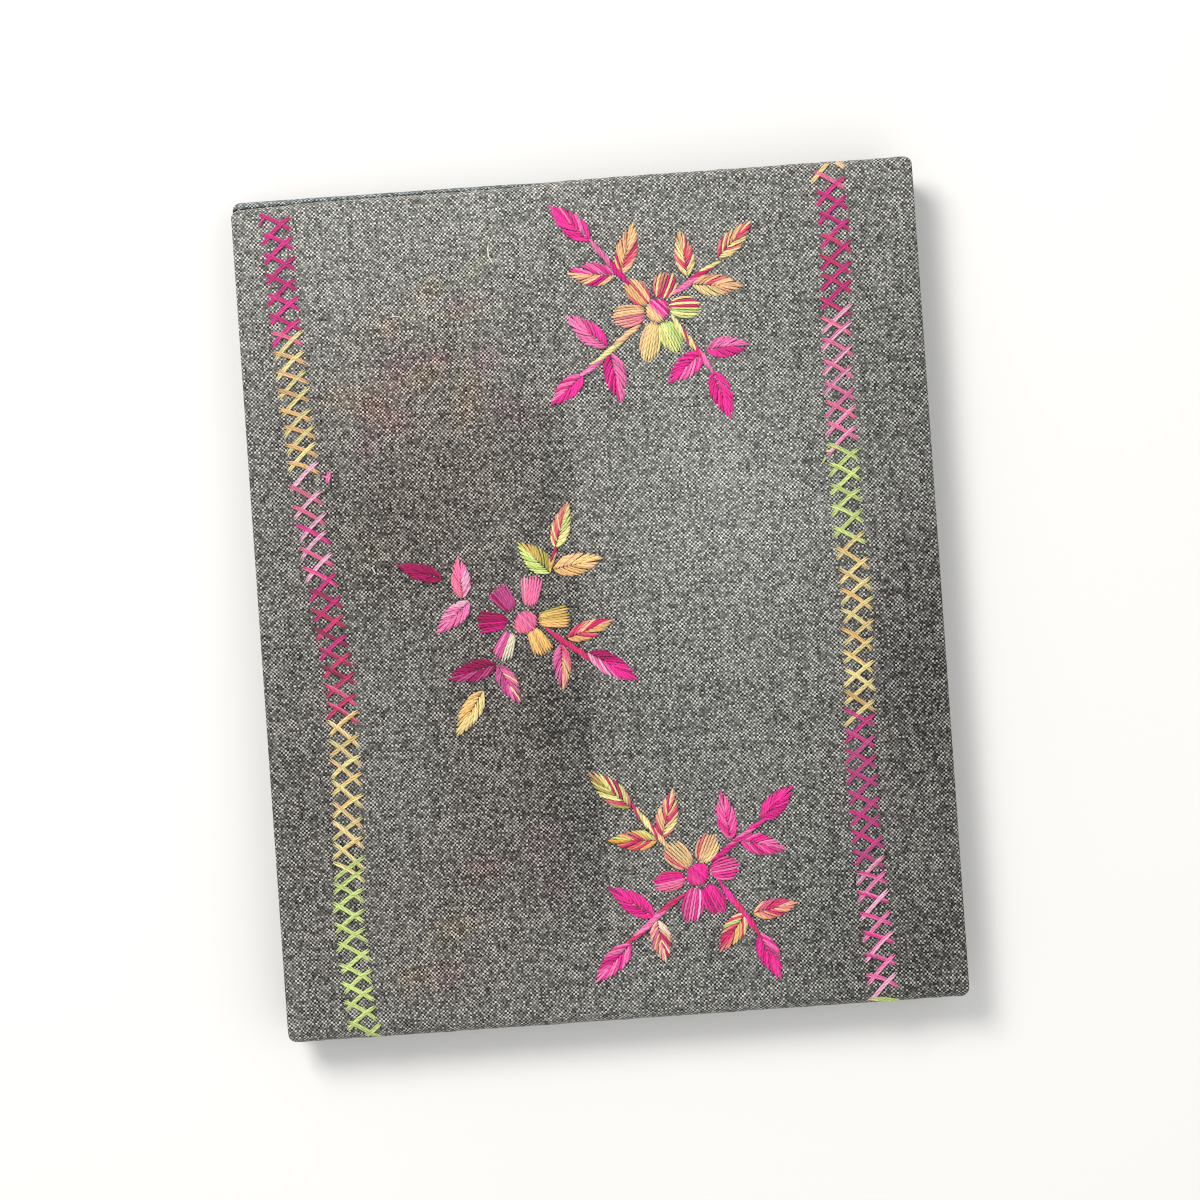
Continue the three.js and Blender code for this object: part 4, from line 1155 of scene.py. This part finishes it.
def work_band(name, chart, tree, thread, material):
    """One band of herringbone stitch, from the fold at the head down to the fold at the foot."""
    guides = Guides(f"{thread.seed} {name}", dulled=0.16)
    rows, row_ys = zip(*chart["rows"])
    zones = charted(ZONE_COLUMNS, chart["zones"])
    # No stitch goes on past a quarter turn round a fold.
    highest = float(FACE.head.edge(chart["line"][-1][1])) + FACE.head.radius * (math.pi / 2 - 1)
    lowest = -HALF_LENGTH - FACE.foot.radius * (math.pi / 2 - 1)
    for row in range(rows[0] - 1, rows[-1] + 3):
        beyond = max(0, row - rows[-1]) + min(0, row)
        top = float(np.interp(row, rows, row_ys)) - BAND_PITCH * beyond + guides.chance.uniform(-0.4, 0.4)
        zone, next_zone = (
            [each for each in zones if y <= each["y"]][-1] for y in (top, top - WOOL_LEAD))
        turn_back = top - zone["fall"] + TURN_BACK + guides.chance.uniform(-0.5, 0.5)
        for start, run, slant, wools in (
            (top, zone["fall"], 1, zone["fall_wools"]),
            (turn_back, zone["rise"], -1, next_zone["rise_wools"]),
        ):
            if start < highest and start - run > lowest:
                band_stitch(guides, chart, start, run, slant, wools)
    for end in charted(END_COLUMNS, THREAD_ENDS):
        if end["band"] == name:
            start, angle = (end["x"], end["y"]), end["angle"]
            for aside in (0,) if end["strands"] == 1 else (-STRAND, STRAND):
                guides.straight(turned(start, angle, 0, aside), turned(start, angle, end["length"], aside),
                                end["wools"], girth=STRAND_GIRTH)
    piece = guides.work(f"{name}_thread", tree, thread, material, rise_share=0.8)
    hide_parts(name)
    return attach(piece, ROOT)


# ---------------------------------------------------------------- hidden layers


def layer_edge(z):
    """How far the edge of the layers at a height lies behind their fold's outermost line."""
    within = z / BUNDLE % 1
    if within < 1 / 3:
        bow = math.sqrt(max(0.0, 1 - (6 * within - 1) ** 2))
        return EDGE_ROUND + EDGE_ROUND * (1 - bow)
    bow = math.sqrt(max(0.0, 1 - (3 * within - 2) ** 2))
    return FOLD_ROUND * (1 - bow)


def nested_edge(z):
    """The same where three layers turn over together at an end of the packet."""
    return NESTED_ROUND * (1 - math.sqrt(max(0.0, 1 - (2 * (z / LAYER % 1) - 1) ** 2)))


def inner_outline(z, deep):
    """The outline of the hidden layers at one height, as places across and along."""
    bundle = charted(BUNDLE_COLUMNS, BUNDLES)[min(len(BUNDLES) - 1, int(z / BUNDLE))]
    whole = z / BUNDLE % 1
    bow = FOLD_ROUND * (1 - math.sqrt(max(0.0, 1 - (2 * whole - 1) ** 2)))
    left = -HALF_WIDTH + bundle["left"] + layer_edge(z)
    right = HALF_WIDTH - bundle["right"] - layer_edge(z)
    head = HALF_LENGTH - bundle["head"] - bow - nested_edge(z) - deep["head"]
    foot = -HALF_LENGTH + bundle["foot"] + bow + nested_edge(z) + deep["foot"]
    corner, spacing, outline = 3.5, 7, []
    for x, y, turn in ((right - corner, head - corner, 0), (left + corner, head - corner, 90),
                       (left + corner, foot + corner, 180), (right - corner, foot + corner, 270)):
        for degrees in np.linspace(turn, turn + 90, 7):
            angle = math.radians(degrees)
            outline.append((x + corner * math.cos(angle), y + corner * math.sin(angle)))
    places = []
    for (x, y), (to_x, to_y) in zip(outline, outline[1:] + outline[:1]):
        count = max(1, round(math.hypot(to_x - x, to_y - y) / spacing))
        places += [(x + (to_x - x) * i / count, y + (to_y - y) * i / count) for i in range(count)]
    return np.array(places)


def even_ring(outline, count):
    """The outline with a set number of points, so that rings join, and how far along each lies."""
    closed = np.vstack([outline, outline[:1]])
    run = np.concatenate([[0], np.cumsum(np.linalg.norm(np.diff(closed, axis=0), axis=1))])
    at = np.linspace(0, run[-1], count, endpoint=False)
    return np.stack([np.interp(at, run, closed[:, i]) for i in (0, 1)], axis=1), at


def inner_layers_piece(material):
    """The hidden layers: one rounded solid whose edges show every layer, slotted for the arms."""
    low, high, ring_size, steps = INNER_LOW.z, INNER_HIGH.z, 240, 84
    mean_reach, uv_start = 130, 40
    second, face_arm = SECOND_HIGH.z, LAYER + SLOT_GAP
    slots = (
        ("head", SECOND.head, second - LAYER, second),
        ("head", SECOND.head, SECOND_LOW.z, SECOND_LOW.z + LAYER),
        ("head", FACE.head, second, second + face_arm),
        ("foot", FACE.foot, FACE_LOW.z, FACE_LOW.z + LAYER),
        ("foot", BASE.foot, BASE_HIGH.z - LAYER, BASE_HIGH.z),
    )
    rings, uvs = [], []
    levels = np.arange(low, high + 0.01, (high - low) / steps)
    for z in levels:
        deep = {"head": 0.0, "foot": 0.0}
        for end, fold, bottom, top in slots:
            if bottom - SLOT_GAP <= z <= top + SLOT_GAP:
                deep[end] = max(deep[end], fold.arm + fold.radius)
        ring, run = even_ring(inner_outline(z, deep), ring_size)
        # Each layer's edge wavers in its own way.
        layer = int(z / LAYER)
        wave = 0.22 * unevenness(ring[:, 0] + 9 * layer, ring[:, 1] + 5 * layer)
        ring = ring * (1 - wave[:, None] / mean_reach)
        rings.append(np.column_stack([ring, np.full(ring_size, z)]))
        uvs.append(np.column_stack([run, np.full(ring_size, z + uv_start)]))
    points = np.concatenate(rings)
    faces = []
    for i in range(len(levels) - 1):
        for j in range(ring_size):
            a, b = i * ring_size + j, i * ring_size + (j + 1) % ring_size
            faces.append((a, b, b + ring_size, a + ring_size))
    faces.append(tuple(reversed(range(ring_size))))
    faces.append(tuple(range(len(points) - ring_size, len(points))))
    piece = new_mesh_object("inner_layers_cloth", points, faces)
    map_cloth(piece.data, np.concatenate(uvs))
    # Painted shade: the cloth is darker in the grooves between the layers.
    groove_shade = np.array([1 - 0.55 * layer_edge(z) for z in points[:, 2]])
    paint_shade(piece.data, np.repeat(groove_shade[:, None], 3, axis=1))
    piece.data.materials.append(material)
    point_outwards(piece)
    return smooth(piece)


# ---------------------------------------------------------------- operators


def shared(name, kind, make):
    """A material or node group that several operators use, made the first time."""
    store = getattr(bpy.data, kind)
    return store.get(name) or make()


def shared_cloth():
    cloth = bpy.context.scene.shawl_cloth
    weave = shared("Plain Weave", "node_groups", plain_weave_group)
    return shared("Melange Wool Cloth", "materials", lambda: cloth_material(weave, cloth))


def shared_thread():
    thread = bpy.context.scene.shawl_thread
    tree = shared("Worked Thread", "node_groups", worked_thread_tree)
    return tree, shared("Wool Embroidery Thread", "materials", lambda: thread_material(thread))


class SHAWL_OT_face_cloth(bpy.types.Operator):
    """Weave the face of the shawl, with its folds at the head and the foot"""

    bl_idname = "shawl.face_cloth"
    bl_label = "Face Cloth"

    def execute(self, context):
        piece = cloth_wall("face_cloth", FACE, 1.5, 1.0, shared_cloth(), face_shade)
        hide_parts("face_panel")
        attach(piece, ROOT)
        FACE.cut_size()
        return {"FINISHED"}


class SHAWL_OT_folded_layers(bpy.types.Operator):
    """Lay the folds behind and below the face, and the hidden layers between them"""

    bl_idname = "shawl.folded_layers"
    bl_label = "Folded Layers"

    def execute(self, context):
        material = shared_cloth()
        inner = inner_layers_piece(material)
        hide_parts("inner_layers")
        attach(inner, ROOT)
        for name, sheet, step, shade_at in (
            ("second_fold", SECOND, 2.0, second_shade), ("base_panel", BASE, 6.0, plain_shade),
        ):
            piece = cloth_wall(f"{name}_cloth", sheet, step, 0.8, material, shade_at)
            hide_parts(name)
            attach(piece, ROOT)
            sheet.cut_size()
        return {"FINISHED"}


class SHAWL_OT_herringbone_bands(bpy.types.Operator):
    """Work the two lengthwise bands of herringbone stitch"""

    bl_idname = "shawl.herringbone_bands"
    bl_label = "Herringbone Bands"

    def execute(self, context):
        tree, material = shared_thread()
        for name, chart in BANDS.items():
            work_band(name, chart, tree, context.scene.shawl_thread, material)
        return {"FINISHED"}


class SHAWL_OT_flower_sprays(bpy.types.Operator):
    """Work the three flower sprays in satin, fishbone and stem stitch"""

    bl_idname = "shawl.flower_sprays"
    bl_label = "Flower Sprays"

    def execute(self, context):
        tree, material = shared_thread()
        for name, chart in SPRAYS.items():
            work_spray(name, chart, tree, context.scene.shawl_thread, material)
        return {"FINISHED"}


class SHAWL_OT_loose_hairs(bpy.types.Operator):
    """Lay a few loose hairs on the face"""

    bl_idname = "shawl.loose_hairs"
    bl_label = "Loose Hairs"

    def execute(self, context):
        tree, material = shared_thread()
        guides = Guides("hairs")
        for start, bend, end, wool in HAIRS:
            guides.stitch([start, bend, end], wool, lift=0.15)
        piece = guides.work("loose_hairs", tree, context.scene.shawl_thread, material, 0.45, 0.3)
        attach(piece, ROOT)
        return {"FINISHED"}


class SHAWL_OT_stage(bpy.types.Operator):
    """Set out the floor, the lights and the camera"""

    bl_idname = "shawl.stage"
    bl_label = "Stage"

    def execute(self, context):
        stage = context.scene.shawl_stage
        reach = 4000
        corners = [(-reach, -reach, 0), (reach, -reach, 0), (reach, reach, 0), (-reach, reach, 0)]
        floor = new_mesh_object("floor", corners, [(0, 1, 2, 3)])
        floor.data.materials.append(floor_material(stage.floor))
        lights = (
            ("key_light", (-0.6, 0.8, 1.2), 0.6, 19.0), ("fill_light", (0.9, -0.3, 1.3), 1.4, 5.0),
            ("foot_light", (0.1, -1.2, 0.9), 1.2, 3.0),
        )
        for name, place, size, power in lights:
            data = bpy.data.lights.new(name, "AREA")
            data.size, data.energy = size, power
            light = bpy.data.objects.new(name, data)
            light.location = place
            light.rotation_euler = (-Vector(place)).to_track_quat("-Z", "Y").to_euler()
            context.scene.collection.objects.link(light)
        world = bpy.data.worlds.new("Studio")
        world.use_nodes = True
        sky = world.node_tree.nodes["Background"].inputs
        sky["Color"].default_value, sky["Strength"].default_value = (0.95, 0.97, 1.0, 1), 0.55
        context.scene.world = world
        data = bpy.data.cameras.new("camera")
        data.lens, data.sensor_width = stage.lens, 36
        camera = bpy.data.objects.new("camera", data)
        distance = stage.view_width * stage.lens / data.sensor_width
        camera.location = (0, 0, HEIGHT * MM + distance)
        camera.rotation_euler = (0, 0, -stage.turn)
        data.clip_end = 20
        context.scene.collection.objects.link(camera)
        context.scene.camera = camera
        context.scene.view_settings.view_transform = "Standard"
        # Left to itself, the denoiser takes the fine weave for noise and smooths it away, and the
        # pixel filter blurs its threads together.
        context.scene.cycles.denoising_prefilter = "NONE"
        context.scene.cycles.filter_width = 1.1
        return {"FINISHED"}


class SHAWL_PT_panel(bpy.types.Panel):
    """The shawl's steps, in working order"""

    bl_idname = "SHAWL_PT_panel"
    bl_label = "Folded Wool Shawl"
    bl_space_type = "VIEW_3D"
    bl_region_type = "UI"
    bl_category = "Shawl"

    def draw(self, context):
        for group in ("shawl_cloth", "shawl_thread", "shawl_stage"):
            settings = getattr(context.scene, group)
            box = self.layout.box()
            for name in settings.bl_rna.properties.keys():
                if name not in {"rna_type", "name"}:
                    box.prop(settings, name)
        for operator in OPERATORS:
            self.layout.operator(operator.bl_idname)


SETTINGS = {
    "shawl_cloth": ShawlClothSettings,
    "shawl_thread": ShawlThreadSettings,
    "shawl_stage": ShawlStageSettings,
}
OPERATORS = (
    SHAWL_OT_folded_layers, SHAWL_OT_face_cloth, SHAWL_OT_herringbone_bands, SHAWL_OT_flower_sprays,
    SHAWL_OT_loose_hairs, SHAWL_OT_stage,
)


def register():
    for item in (*SETTINGS.values(), *OPERATORS, SHAWL_PT_panel):
        bpy.utils.register_class(item)
    for name, group in SETTINGS.items():
        setattr(bpy.types.Scene, name, PointerProperty(type=group))


def unregister():
    for name in SETTINGS:
        delattr(bpy.types.Scene, name)
    for item in reversed((*SETTINGS.values(), *OPERATORS, SHAWL_PT_panel)):
        bpy.utils.unregister_class(item)


def main():
    register()
    bpy.ops.shawl.folded_layers()
    bpy.ops.shawl.face_cloth()
    bpy.ops.shawl.herringbone_bands()
    bpy.ops.shawl.flower_sprays()
    bpy.ops.shawl.loose_hairs()
    bpy.ops.shawl.stage()


if __name__ == "__main__":
    main()
